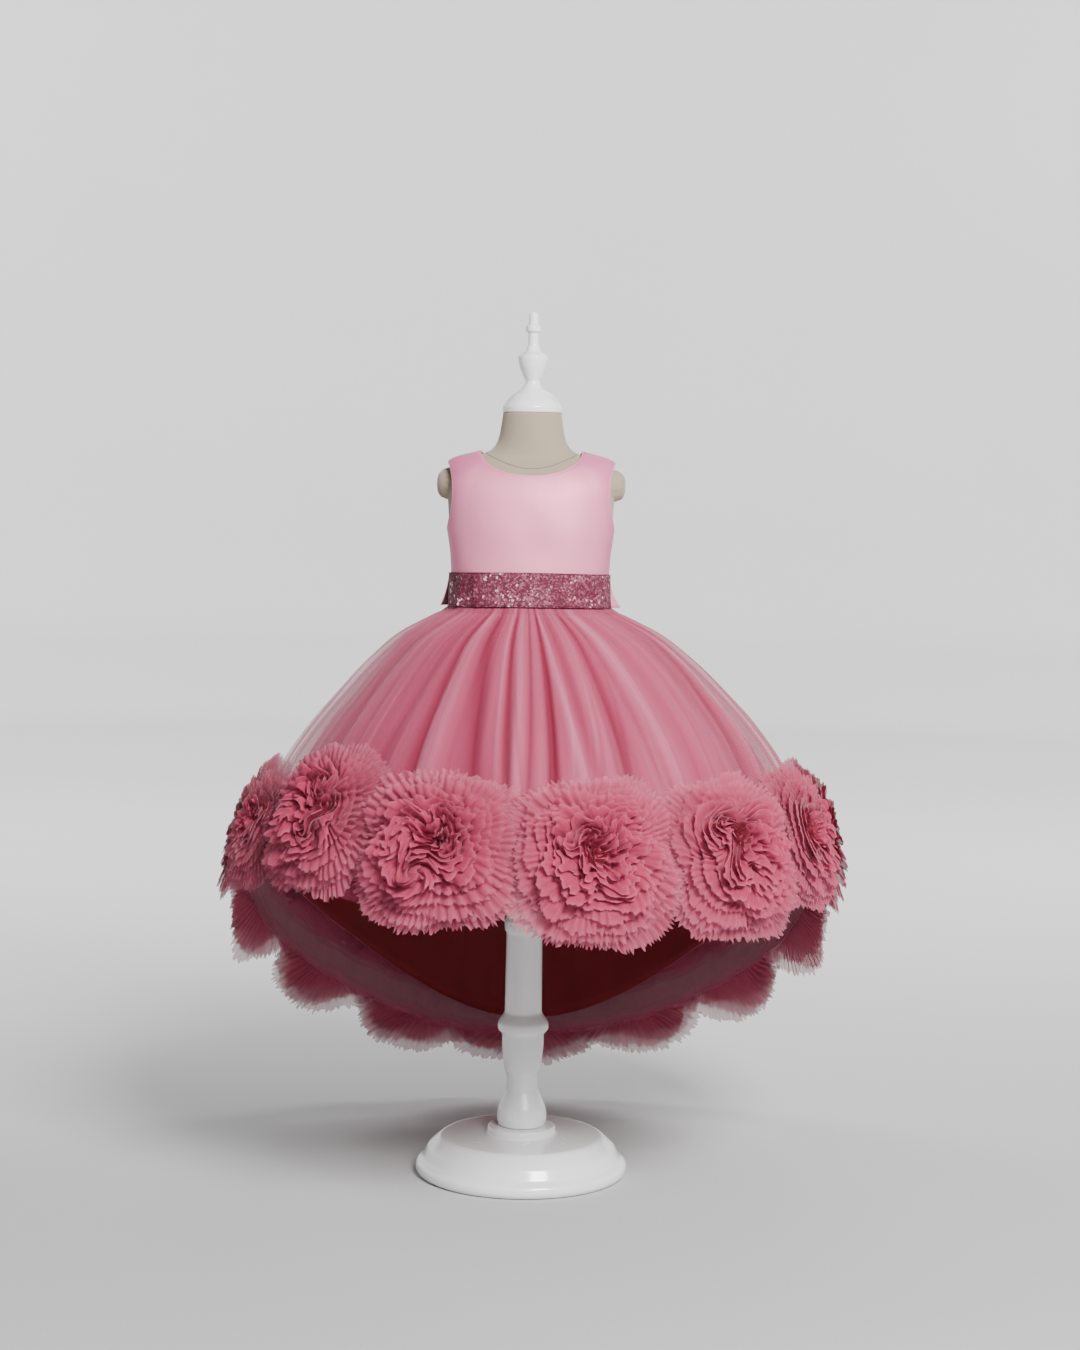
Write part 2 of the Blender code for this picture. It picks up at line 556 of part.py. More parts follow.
def make_rosette(number, azimuth, frame, reach, turn):
    """Two ruffled frills round a plain heart, on a backing that lies on the tulle."""
    centre, sideways, upward, outward = frame
    angle = np.linspace(0, 2 * math.pi, ROSETTE_SIDES, endpoint=False)
    wave = np.cos(ROSETTE_WAVES * angle + math.radians(turn))
    share, height, depth = (column[:, None] for column in FRILLS.T)
    radius = reach * share + 0.35 * depth * wave[None, :]
    lift = ROSETTE_SEAT + height + depth * wave[None, :]
    rings = (centre + (radius * np.cos(angle))[..., None] * sideways
             + (radius * np.sin(angle))[..., None] * upward + lift[..., None] * outward)
    back_turn = azimuth + np.degrees(radius[0] * np.cos(angle) / np.linalg.norm(centre[:2]))
    rings[0] = skirt_point(back_turn, rings[0, :, 2]) + ROSETTE_SEAT * outward
    loft(f"rosette_{number:02d}", rings, "ruffle",
         first_pole=centre + ROSETTE_SEAT * outward, last_pole=centre + ROSETTE_HEART * outward)


def make_rosettes():
    """Rosettes side by side round the hem, each reaching to half way to its nearest neighbour."""
    frames = [rosette_frame(azimuth, above_hem) for azimuth, above_hem, turn in ROSETTES]
    centres = np.array([frame[0] for frame in frames])
    apart = np.linalg.norm(centres[:, None] - centres[None], axis=-1)
    apart[np.diag_indices(len(centres))] = np.inf
    reaches = np.minimum(apart.min(axis=1) / 2 - ROSETTE_AIR, ROSETTE_REACH)
    for number, (row, frame, reach) in enumerate(zip(ROSETTES, frames, reaches), start=1):
        make_rosette(number, row[0], frame, reach, row[2])


def main():
    for thing in list(bpy.data.objects):
        bpy.data.objects.remove(thing, do_unlink=True)
    make_form()
    make_bodice()
    make_sash()
    make_skirt()
    make_rosettes()


main()
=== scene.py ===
import math

import bpy
import numpy as np
from mathutils import Matrix


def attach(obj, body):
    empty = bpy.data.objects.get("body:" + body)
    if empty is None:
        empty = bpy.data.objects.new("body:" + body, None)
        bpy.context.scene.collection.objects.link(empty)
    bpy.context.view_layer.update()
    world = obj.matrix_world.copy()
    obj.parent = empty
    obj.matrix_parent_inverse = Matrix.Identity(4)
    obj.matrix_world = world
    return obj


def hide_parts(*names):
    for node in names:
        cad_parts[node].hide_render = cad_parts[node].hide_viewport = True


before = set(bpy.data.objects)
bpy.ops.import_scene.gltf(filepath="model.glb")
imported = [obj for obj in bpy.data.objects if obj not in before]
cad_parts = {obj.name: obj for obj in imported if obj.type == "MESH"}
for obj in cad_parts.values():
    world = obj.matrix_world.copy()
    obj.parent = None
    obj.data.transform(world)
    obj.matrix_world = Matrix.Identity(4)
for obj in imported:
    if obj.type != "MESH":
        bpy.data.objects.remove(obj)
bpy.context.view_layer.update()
print("frame loaded:", len(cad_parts), "solids")


# Method of Wire for a maths operation, turned where the wire stands on the right.
def operator(operation, turned=False):
    return lambda wire, other: wire.maths(operation, other, turned)


# A shader socket that can be added, scaled and compared like a number.
class Wire:
    def __init__(self, finish, socket):
        self.finish, self.socket = finish, socket

    def maths(self, operation, other, turned=False):
        first, second = (other, self) if turned else (self, other)
        return self.finish.wire("ShaderNodeMath", {"operation": operation}, {0: first, 1: second})

    __add__, __radd__ = operator("ADD"), operator("ADD", True)
    __sub__, __rsub__ = operator("SUBTRACT"), operator("SUBTRACT", True)
    __mul__, __rmul__ = operator("MULTIPLY"), operator("MULTIPLY", True)
    __gt__ = operator("GREATER_THAN")

    def clamped(self, low=0.0, high=1.0):
        return self.maths("MAXIMUM", low).maths("MINIMUM", high)


# One material; place and surface are its coordinates, all in metres.
class Finish:
    def __init__(self, name, **constants):
        self.material = bpy.data.materials.new(name)
        self.material.use_nodes = True
        self.tree = self.material.node_tree
        self.shader = self.tree.nodes["Principled BSDF"]
        for socket, value in constants.items():
            self.shader.inputs[socket.replace("_", " ")].default_value = value
        self.place = self.wire("ShaderNodeTexCoord", {}, {}, "Object")
        self.surface = self.wire("ShaderNodeUVMap", {"uv_map": "cloth"}, {}, "UV")

    def node(self, kind, settings, sockets):
        made = self.tree.nodes.new(kind)
        for setting, value in settings.items():
            if setting == "stops":
                ramp = made.color_ramp.elements
                while len(ramp) < len(value):
                    ramp.new(0.5)
                for stop, (position, colour) in zip(ramp, value):
                    stop.position, stop.color = position, (*colour, 1.0)
            else:
                setattr(made, setting, value)
        for socket, value in sockets.items():
            if isinstance(value, Wire):
                self.tree.links.new(value.socket, made.inputs[socket])
            else:
                made.inputs[socket].default_value = value
        return made

    def wire(self, kind, settings, sockets, output=0):
        return Wire(self, self.node(kind, settings, sockets).outputs[output])

    def attribute(self, name):
        return self.wire("ShaderNodeAttribute", {"attribute_name": name}, {}, "Fac")

    def noise(self, scale, detail=3.0, rough=0.55, at=None, stretch=(1, 1, 1)):
        place = self.wire("ShaderNodeMapping", {}, {"Vector": at or self.place, "Scale": stretch})
        return self.wire("ShaderNodeTexNoise", {}, {
            "Vector": place, "Scale": scale, "Detail": detail, "Roughness": rough}, "Fac")

    def colours(self, value, stops):
        return self.wire("ShaderNodeValToRGB", {"stops": stops}, {"Fac": value}, "Color")

    # The share of the second colour laid over the first, which are wires or red, green and blue.
    def blend(self, share, first, second):
        first, second = ((*colour, 1) if isinstance(colour, tuple) else colour
                         for colour in (first, second))
        mix = self.node("ShaderNodeMix", {"data_type": "RGBA"}, {0: share, 6: first, 7: second})
        return Wire(self, mix.outputs[2])

    def bump(self, height, depth, strength=1.0):
        bumped = self.wire("ShaderNodeBump", {}, {
            "Height": height, "Distance": depth, "Strength": strength}, "Normal")
        self.set("Normal", bumped)

    def set(self, socket, wire):
        self.tree.links.new(wire.socket, self.shader.inputs[socket])


# Linear colours; stops are a tone from 0 to 1 and its colour; grains, scales and cells are counts
# a metre; covers are how much the net hides.
# In the satin, turned is a darker rose painted as shade where the cloth turns away from the front.
satinLook = {"light": (0.86, 0.31, 0.46), "dark": (0.79, 0.24, 0.38), "turned": (0.68, 0.155, 0.33),
             "litSatinLight": (0.96, 0.72, 0.80), "litSatinDark": (0.92, 0.62, 0.72), "turnShadeShare": 0.85,
             "weave": 2600.0, "cloud": 14.0, "sheen": 60.0, "billow": 40.0}
glitterLook = {"stops": ((0.0, (0.085, 0.009, 0.023)), (0.55, (0.150, 0.032, 0.057)),
                         (0.93, (0.40, 0.165, 0.22)), (1.0, (1.0, 0.78, 0.84))),
               "flake": 460.0, "dust": 1300.0, "patch": 55.0, "sparkOver": 0.955, "glow": 0.9}
# The net's stops run from painted shade in the fold grooves to painted highlight on the ridges; haze is the
# hem band's grey, painted light.
tulleLook = {"stops": ((0.0, (0.26, 0.017, 0.052)), (0.5, (0.46, 0.072, 0.150)),
                       (1.0, (0.65, 0.19, 0.31))),
             "haze": (0.30, 0.150, 0.175), "hazeCover": 0.38, "cell": 620.0, "streak": 70.0,
             "loose": 0.40, "bunched": 0.72, "innerLoose": 0.24, "innerBunched": 0.42}
# Underskirt stops run from painted shade in the fold grooves to painted highlight on the ridges; inside is
# a dark red painted as shade.
liningLook = {"stops": ((0.0, (0.22, 0.013, 0.044)), (0.5, (0.42, 0.058, 0.128)),
                        (1.0, (0.60, 0.165, 0.275))),
              "inside": (0.190, 0.0050, 0.0120), "insideDark": 0.6, "weave": 1600.0}
# The ruffle stops run from painted shade at the frills' feet to painted highlight along their lips.
ruffleLook = {"stops": ((0.0, (0.32, 0.021, 0.057)), (0.45, (0.36, 0.037, 0.088)),
                        (0.86, (0.425, 0.074, 0.135)), (1.0, (0.51, 0.145, 0.220))),
              "crinkle": 260.0, "fray": 700.0, "lipFrom": 0.88, "edgeFrom": 0.60, "cover": 0.85}
linenLook = {"light": (0.345, 0.285, 0.212), "dark": (0.290, 0.230, 0.162), "thread": 1500.0,
             "cloud": 9.0, "seamShade": 0.55}
paintLook = {"white": (0.84, 0.845, 0.85), "worn": (0.68, 0.65, 0.61), "grain": 22.0, "wear": 34.0}
tapeLook = {"rib": (0.72, 0.27, 0.36), "groove": (0.58, 0.17, 0.25), "ribs": 160.0}


# Where the cloth turns away, to the side or over the shoulder, a mark runs to 1 and turns the colour
# towards a darker rose: painted shade.
def makeSatin(name, light, dark):
    satin = Finish(name, Metallic=0.28, Roughness=0.6, Specular_IOR_Level=0.45)
    colour = satin.blend(satin.noise(satinLook["cloud"], 2.0), dark, light)
    satin.set("Base Color", satin.blend(satinLook["turnShadeShare"] * satin.attribute("deep"),
                                        colour, satinLook["turned"]))
    satin.set("Roughness", 0.56 + 0.08 * satin.noise(satinLook["sheen"], 2.0))
    weave = satin.noise(satinLook["weave"], 1.0, at=satin.surface, stretch=(1, 0.25, 1))
    satin.bump(0.25 * weave + satin.noise(satinLook["billow"], 1.0), 0.0003, 0.35)
    return satin.material


# Flakes are cells with a chance red, which shades them, and green, which roughens them and makes the few
# past a threshold glow: painted glints.
def makeGlitter():
    glitter = Finish("roseGlitter", Roughness=0.7, Specular_IOR_Level=0.12,
                     Emission_Strength=glitterLook["glow"])
    flakes = {"Vector": glitter.place, "Scale": glitterLook["flake"]}
    shade = glitter.wire("ShaderNodeTexVoronoi", {}, flakes, "Color")
    parts = glitter.node("ShaderNodeSeparateColor", {}, {"Color": shade})
    red, green = Wire(glitter, parts.outputs[0]), Wire(glitter, parts.outputs[1])
    patch, dust = glitter.noise(glitterLook["patch"], 1.0), glitter.noise(glitterLook["dust"], 1.0)
    tone = (red * 0.62 + (dust - 0.5) * 0.9 + (patch - 0.5) * 0.5 + 0.16).clamped()
    glitter.set("Base Color", glitter.colours(tone, glitterLook["stops"]))
    glitter.set("Roughness", 0.50 + 0.40 * green)
    # painted glints: a few flakes glow in the brightest colour
    paintedGlint = (green > glitterLook["sparkOver"]) * (patch > 0.52)
    glitter.set("Emission Color", glitter.blend(paintedGlint, (0, 0, 0), glitterLook["stops"][-1][1]))
    glitter.bump(red, 0.0005, 0.5)
    return glitter.material


# Sheer net: gather (0 loose to 1 bunched) makes it denser, tone (-1 groove to 1 ridge) paints shade into
# the grooves and highlight onto the ridges, and haze (0 to 1) thickens the hem band and greys it, the grey
# being painted light scattered back by the layers.
def makeTulle(name, loose, bunched):
    tulle = Finish(name, Roughness=0.8, Sheen_Weight=0.25, Sheen_Roughness=0.4,
                   Sheen_Tint=(1.0, 0.62, 0.70, 1.0), Specular_IOR_Level=0.25)
    gather, tone, haze = (tulle.attribute(mark) for mark in ("gather", "tone", "haze"))
    streak = tulle.noise(tulleLook["streak"], 3.0, 0.55, tulle.surface, (1, 0.02, 1))
    net = tulle.wire("ShaderNodeTexVoronoi", {"feature": "DISTANCE_TO_EDGE"}, {
        "Vector": tulle.surface, "Scale": tulleLook["cell"], "Randomness": 0.35}, "Distance")
    shade = (0.5 + 0.5 * tone + 0.30 * (streak - 0.5)).clamped()
    tulle.set("Base Color", tulle.blend(0.8 * haze, tulle.colours(shade, tulleLook["stops"]),
                                        tulleLook["haze"]))
    cover = (tulleLook["hazeCover"] * haze + loose + (bunched - loose) * gather
             + 0.12 * (streak - 0.5) + 0.25 * (0.16 - net))
    tulle.set("Alpha", cover.clamped(0.08, 1.0))
    return tulle.material


# Underskirt outside: the tone mark paints shade into the folds' grooves and highlight onto their ridges.
def makeLiningOutside():
    lining = Finish("roseUnderskirt", Roughness=0.5, Sheen_Weight=0.25, Sheen_Roughness=0.4)
    streak = lining.noise(40.0, 3.0, 0.55, lining.surface, (1, 0.03, 1))
    shade = (0.5 + 0.5 * lining.attribute("tone") + 0.24 * (streak - 0.5)).clamped()
    lining.set("Base Color", lining.colours(shade, liningLook["stops"]))
    lining.bump(lining.noise(liningLook["weave"], 1.0, at=lining.surface) + streak, 0.0003, 0.35)
    return lining.material


# Inside of the underskirt and bodice: a dark red painted as the shade inside them.
def makeLiningInside():
    inside = Finish("paintedShadeInside", Roughness=0.7, Specular_IOR_Level=0.3)
    streak = inside.noise(30.0, 2.0, 0.5, inside.surface, (1, 0.05, 1))
    darker = tuple(liningLook["insideDark"] * part for part in liningLook["inside"])
    inside.set("Base Color", inside.blend(streak, darker, liningLook["inside"]))
    inside.bump(inside.noise(liningLook["weave"], 1.0, at=inside.surface), 0.0003, 0.3)
    return inside.material


# Frills: the attribute reach runs from 0 at the gathered foot to 1 at the raw edge, and sheer
# from 0 in the thick heart to 1 in the outermost frill.
def makeRuffle():
    ruffle = Finish("roseRuffle", Roughness=0.8, Sheen_Weight=0.25, Sheen_Roughness=0.45,
                    Sheen_Tint=(1.0, 0.55, 0.62, 1.0), Specular_IOR_Level=0.2,
                    Subsurface_Weight=0.40, Subsurface_Scale=0.014,
                    Subsurface_Radius=(1.0, 0.25, 0.30))
    reach, sheer = ruffle.attribute("reach"), ruffle.attribute("sheer")
    crinkle = ruffle.noise(ruffleLook["crinkle"], 3.0, 0.6, ruffle.surface, (1, 0.10, 1))
    lip = ((reach - ruffleLook["lipFrom"]) * 9.0).clamped() * (1.0 - 0.8 * sheer)
    # painted shade darkens the frills' feet, where the crevices lie; painted highlight lightens the lips of
    # the inner frills; the sheer frills are painted paler as if lit through
    tone = (0.20 + 0.22 * reach + 0.32 * lip + 0.34 * (crinkle - 0.5) + 0.46 * sheer).clamped()
    ruffle.set("Base Color", ruffle.colours(tone, ruffleLook["stops"]))
    fray = ruffle.noise(ruffleLook["fray"], 2.0, 0.6, ruffle.surface, (1, 0.12, 1))
    edge = ((reach - ruffleLook["edgeFrom"]) * 2.5).clamped() * sheer
    cover = (ruffleLook["cover"] + 0.12 * lip - sheer * (0.03 + 0.12 * reach * reach)
             - edge * (1.05 - fray) * 0.27)
    ruffle.set("Alpha", cover.clamped(0.05, 1.0))
    ruffle.bump(crinkle, 0.0008, 0.5)
    return ruffle.material


def makeLinen(name, shade):
    linen = Finish(name, Roughness=0.9, Sheen_Weight=0.25)
    cloud = linen.noise(linenLook["cloud"], 3.0)
    slub = linen.noise(linenLook["thread"], 2.0, 0.7, stretch=(1, 1, 0.12))
    pick = linen.noise(linenLook["thread"], 2.0, 0.7, stretch=(0.12, 0.12, 1))
    tone = (0.55 * cloud + 0.3 * slub + 0.3 * pick - 0.1).clamped()
    dark, light = (tuple(shade * part for part in linenLook[key]) for key in ("dark", "light"))
    linen.set("Base Color", linen.blend(tone, dark, light))
    linen.bump(slub + pick, 0.0005, 0.5)
    return linen.material


def makePaint():
    paint = Finish("whiteGloss", Roughness=0.22, Coat_Weight=0.6, Coat_Roughness=0.08)
    grain = paint.noise(paintLook["grain"], 4.0, 0.6, stretch=(1, 1, 0.12))
    worn = ((paint.noise(paintLook["wear"], 4.0) - 0.60) * 5.0).clamped()
    paint.set("Base Color", paint.blend(0.5 * worn, paintLook["white"], paintLook["worn"]))
    paint.set("Roughness", 0.17 + 0.12 * grain + 0.15 * worn)
    paint.bump(grain, 0.0004, 0.25)
    return paint.material


def makeZipTape():
    tape = Finish("zipTape", Roughness=0.7)
    ribs = tape.wire("ShaderNodeTexWave", {"bands_direction": "Z"}, {
        "Vector": tape.place, "Scale": tapeLook["ribs"], "Distortion": 0.0}, "Fac")
    tape.set("Base Color", tape.blend(ribs, tapeLook["groove"], tapeLook["rib"]))
    tape.bump(ribs, 0.0004, 0.6)
    return tape.material


finishes = {
    "satin": makeSatin("roseSatin", satinLook["light"], satinLook["dark"]),
    # a much paler copy of the satin, painted as if lit, for the inside of one sash end
    "litSatin": makeSatin("paintedLitSatin", satinLook["litSatinLight"], satinLook["litSatinDark"]),
    "glitter": makeGlitter(),
    "tulle": makeTulle("roseTulle", tulleLook["loose"], tulleLook["bunched"]),
    "underTulle": makeTulle("innerTulle", tulleLook["innerLoose"], tulleLook["innerBunched"]),
    "lining": makeLiningOutside(), "shadedInside": makeLiningInside(), "ruffle": makeRuffle(),
    "linen": makeLinen("naturalLinen", 1.0),
    "seam": makeLinen("linenSeam", linenLook["seamShade"]),
    "paint": makePaint(), "tape": makeZipTape(),
}
print("finishes made:", len(finishes))


# 0 up to the start, then straight up to 1 over the length.
def ramp(value, start, length):
    return np.clip((value - start) / length, 0, 1)


# Angles of a full turn, the last one step short of the first.
def fullTurn(count):
    return np.linspace(0, 2 * math.pi, count, endpoint=False)


# Each vector over its length.
def unit(vectors):
    return vectors / np.linalg.norm(vectors, axis=-1, keepdims=True)


# Corner numbers of every cell of a grid: (r, c), (r, c+1), (r+1, c+1), (r+1, c).
def cellsOf(rows, columns, wrapped=False):
    down = np.arange(rows - 1)[:, None]
    across = np.arange(columns if wrapped else columns - 1)[None, :]
    beside = (across + 1) % columns
    return np.stack([down * columns + across, down * columns + beside,
                     (down + 1) * columns + beside, (down + 1) * columns + across],
                    axis=-1).reshape(-1, 4)


# Flat place of every cell's corners, column share times width and row share times height.
def spreadOf(rows, columns, wrapped, width, height):
    steps = columns if wrapped else columns - 1
    down, across = np.meshgrid(np.arange(rows - 1), np.arange(steps), indexing="ij")
    u = np.stack([across, across + 1, across + 1, across], axis=-1) * width / steps
    v = np.stack([down, down, down + 1, down + 1], axis=-1) * height / (rows - 1)
    return np.stack([u, v], axis=-1).reshape(-1, 4, 2)


# Quads and triangles of a stack of rings closed by a fan at either end: the first pole is the
# point after the rings, and the last pole follows it.
def cappedCells(rows, sides):
    around = np.arange(sides)
    beside, last = (around + 1) % sides, (rows - 1) * sides
    first = np.stack([beside, around, np.full(sides, rows * sides)], axis=-1)
    final = np.stack([around + last, beside + last, np.full(sides, rows * sides + 1)], axis=-1)
    return cellsOf(rows, sides, True).tolist() + first.tolist() + final.tolist()


# Smooth-shaded object, with a look for each cell, flat places of the cells' corners, and marks,
# which are numbers at the points that its looks read.
def makePiece(name, points, cells, looks, spread=None, lookOfCell=None, marks=None):
    mesh = bpy.data.meshes.new(name)
    mesh.from_pydata(points.tolist(), [], cells if isinstance(cells, list) else cells.tolist())
    for look in looks:
        mesh.materials.append(look)
    mesh.polygons.foreach_set("use_smooth", np.ones(len(cells), bool))
    if lookOfCell is not None:
        mesh.polygons.foreach_set("material_index", lookOfCell.astype(np.int32))
    if spread is not None:
        layer = mesh.uv_layers.new(name="cloth")
        layer.data.foreach_set("uv", spread.astype(np.float32).ravel())
    for mark, values in (marks or {}).items():
        made = mesh.attributes.new(mark, "FLOAT", "POINT")
        made.data.foreach_set("value", values.astype(np.float32).ravel())
    mesh.update()
    piece = bpy.data.objects.new(name, mesh)
    bpy.context.scene.collection.objects.link(piece)
    return piece


# 1 where the front cells' normals, on the whole, point away from the upright axis, else -1: the
# step that runs through a cell's corners so that they do.
def outwardStep(points, front):
    corners = points[front]
    normal = np.cross(corners[:, 2] - corners[:, 0], corners[:, 3] - corners[:, 1])
    middle = corners.mean(axis=1) * np.array([1.0, 1.0, 0.0])
    return 1 if (normal * middle).sum() > 0 else -1


# Thin closed cloth between two grids: outer face, inner face and a rim on all four edges.
def makeShell(name, outer, inner, looks, width, height, marks=None):
    rows, columns = outer.shape[:2]
    count = rows * columns
    points = np.concatenate([outer.reshape(-1, 3), inner.reshape(-1, 3)])
    front = cellsOf(rows, columns)
    number = np.arange(count).reshape(rows, columns)
    edge = np.concatenate([number[0, :], number[1:, -1], number[-1, -2::-1], number[-2:0:-1, 0]])
    beside = np.roll(edge, -1)
    rim = np.stack([beside, edge, edge + count, beside + count], axis=-1)
    cells = np.concatenate([front, front[:, ::-1] + count, rim])
    flat = spreadOf(rows, columns, False, width, height)
    spread = np.concatenate([flat, flat[:, ::-1], np.zeros((len(rim), 4, 2))])
    step = outwardStep(points, front)
    kind = np.concatenate([np.zeros(len(front)), np.full(len(front), len(looks) - 1),
                           np.zeros(len(rim))])
    marks = {mark: np.concatenate([value.ravel(), value.ravel()])
             for mark, value in (marks or {}).items()}
    return makePiece(name, points, cells[:, ::step], looks, spread[:, ::step], kind, marks)


# Profile of radius and height spun round the axis, each corner rounded by a short curve.
def makeTurned(name, profile, sides, fillet, look):
    line = np.array(profile, float)
    here, before, after = line[1:-1], line[:-2], line[2:]
    back, ahead = before - here, after - here
    backLong = np.linalg.norm(back, axis=1, keepdims=True)
    aheadLong = np.linalg.norm(ahead, axis=1, keepdims=True)
    start = here + back / backLong * np.minimum(fillet, 0.42 * backLong)
    end = here + ahead / aheadLong * np.minimum(fillet, 0.42 * aheadLong)
    t = np.array([0.0, 0.25, 0.5, 0.75, 1.0])[None, :, None]
    bends = (1 - t) ** 2 * start[:, None] + 2 * t * (1 - t) * here[:, None] + t ** 2 * end[:, None]
    line = bends.reshape(-1, 2)
    turn = fullTurn(sides)[None, :]
    ring = np.stack([line[:, :1] * np.cos(turn), line[:, :1] * np.sin(turn),
                     line[:, 1:] + 0 * turn], axis=-1)
    points = np.concatenate([ring.reshape(-1, 3), [[0, 0, profile[0][1]], [0, 0, profile[-1][1]]]])
    step = outwardStep(points, cellsOf(len(line), sides, True))
    return makePiece(name, points, [cell[::step] for cell in cappedCells(len(line), sides)], [look])


# Thin round edging: a small circle square to the path at each of its points.
def makeEdging(name, path, radius, look, slot, sides=8, closed=False):
    path = np.asarray(path, float)
    ahead = np.gradient(path, axis=0)
    if closed:
        ahead = np.roll(path, -1, axis=0) - np.roll(path, 1, axis=0)
    ahead = unit(ahead)
    side = unit(np.cross(ahead, path * np.array([1.0, 1.0, 0.0])))
    up = np.cross(side, ahead)
    turn = fullTurn(sides)[None, :, None]
    ring = path[:, None] + radius * (np.cos(turn) * side[:, None] + np.sin(turn) * up[:, None])
    if closed:
        ring = np.concatenate([ring, ring[:1]])
    rows = len(ring)
    spread = spreadOf(rows, sides, True, 2 * math.pi * radius, 0.01 * rows)
    piece = makePiece(name, ring.reshape(-1, 3), cellsOf(rows, sides, True), [look], spread)
    return belongs(piece, slot)


def belongs(piece, slot, *nodes):
    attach(piece, "root")
    if nodes:
        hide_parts(*nodes)
    return piece


# The limbless form: sections of its torso, neck and shoulders.
form = {
    # height, half width, front depth, back depth, squareness of the oval
    "rows": np.array([
        (0.5900, 0.0700, 0.0550, 0.0550, 2.2), (0.5945, 0.0900, 0.0720, 0.0720, 2.2),
        (0.6060, 0.1005, 0.0820, 0.0840, 2.3), (0.6450, 0.1050, 0.0890, 0.0910, 2.3),
        (0.6900, 0.0990, 0.0830, 0.0820, 2.3), (0.7250, 0.0958, 0.0785, 0.0735, 2.3),
        (0.7750, 0.0972, 0.0785, 0.0745, 2.4), (0.8150, 0.1010, 0.0780, 0.0770, 2.5),
        (0.8500, 0.1036, 0.0740, 0.0775, 2.4), (0.8680, 0.1040, 0.0680, 0.0735, 2.4),
        (0.8820, 0.1035, 0.0600, 0.0670, 2.3), (0.8900, 0.1015, 0.0545, 0.0610, 2.2),
        (0.8960, 0.0975, 0.0490, 0.0555, 2.1), (0.9005, 0.0890, 0.0445, 0.0510, 2.0),
        (0.9040, 0.0775, 0.0415, 0.0470, 2.0), (0.9070, 0.0670, 0.0400, 0.0445, 2.0),
        (0.9100, 0.0575, 0.0395, 0.0430, 2.0), (0.9170, 0.0475, 0.0390, 0.0420, 2.0),
        (0.9300, 0.0410, 0.0385, 0.0400, 2.0), (0.9600, 0.0362, 0.0362, 0.0365, 2.0)]),
    "stumpReach": 0.0135, "stumpHeight": 0.8710, "stumpHalf": (0.0240, 0.0200),
    "waistEase": 0.0010, "chestEase": 0.0028, "easeFrom": 0.785, "easeTo": 0.845,
    "seamFront": 0.8905, "seamSide": 0.9105, "seamBack": 0.8960, "seamWidth": 0.0006,
    "rings": 150, "sides": 144, "fineness": 1500,
    # rough radius of the waist, which turns small widths into degrees
    "waistRadius": 0.10,
}
# node, sides, radius of the corners' rounding, and radius and height down the profile
turnedWood = {
    "neckCap": ("neck_cap", 72, 0.0012, (
        (0.0000, 1.0845), (0.0042, 1.0836), (0.0062, 1.0805), (0.0062, 1.0692), (0.0097, 1.0670),
        (0.0097, 1.0605), (0.0066, 1.0585), (0.0066, 1.0440), (0.0105, 1.0350), (0.0187, 1.0300),
        (0.0187, 1.0245), (0.0168, 1.0160), (0.0125, 1.0060), (0.0090, 1.0000), (0.0096, 0.9960),
        (0.0150, 0.9885), (0.0250, 0.9830), (0.0330, 0.9750), (0.0372, 0.9670), (0.0372, 0.9603),
        (0.0000, 0.9603))),
    "standPost": ("post", 72, 0.0030, (
        (0.0000, 0.5897), (0.0230, 0.5897), (0.0230, 0.3260), (0.0252, 0.3225), (0.0252, 0.3105),
        (0.0228, 0.3070), (0.0236, 0.2050), (0.0300, 0.1960), (0.0323, 0.1915), (0.0323, 0.1835),
        (0.0264, 0.1780), (0.0264, 0.1640), (0.0234, 0.1320), (0.0200, 0.1240), (0.0200, 0.1060),
        (0.0300, 0.0835), (0.0318, 0.0710), (0.0300, 0.0603), (0.0000, 0.0603))),
    "standBase": ("base", 120, 0.0035, (
        (0.0000, 0.0600), (0.0420, 0.0600), (0.0432, 0.0560), (0.0432, 0.0500), (0.1000, 0.0480),
        (0.1045, 0.0455), (0.1190, 0.0330), (0.1250, 0.0200), (0.1320, 0.0150), (0.1340, 0.0110),
        (0.1340, 0.0050), (0.1300, 0.0000), (0.0000, 0.0000))),
}


formNumbers = np.arange(len(form["rows"]), dtype=float)


# Cubic through a table's rows, the slope at each row shared by its two neighbours.
def smoothCurve(at, places, values):
    slope = np.gradient(values, places)
    index = np.clip(np.searchsorted(places, at, side="right") - 1, 0, len(places) - 2)
    step = places[index + 1] - places[index]
    t = ramp(at, places[index], step)
    return ((2 * t ** 3 - 3 * t ** 2 + 1) * values[index] + (3 * t ** 2 - 2 * t ** 3) * values[index + 1]
            + step * ((t ** 3 - 2 * t ** 2 + t) * slope[index] + (t ** 3 - t ** 2) * slope[index + 1]))


# Oval |x/halfWidth|^s + |y/depth|^s = 1, its sizes taken smoothly between the rows.
def torsoPoint(azimuth, row):
    azimuth, row = np.broadcast_arrays(np.asarray(azimuth, float), np.asarray(row, float))
    z, halfWidth, front, back, square = (smoothCurve(row, formNumbers, column)
                                         for column in form["rows"].T)
    across, along = np.sin(np.radians(azimuth)), -np.cos(np.radians(azimuth))
    soft = 0.5 - 0.5 * np.tanh(along / 0.08)
    depth = front * soft + back * (1 - soft)
    radius = ((np.abs(across) / halfWidth) ** square
              + (np.abs(along) / depth) ** square) ** (-1 / square)
    return np.stack([radius * across, radius * along, z], axis=-1)


def rowAt(z):
    fine = np.linspace(0, formNumbers[-1], form["fineness"])
    return np.interp(z, smoothCurve(fine, formNumbers, form["rows"][:, 0]), fine)


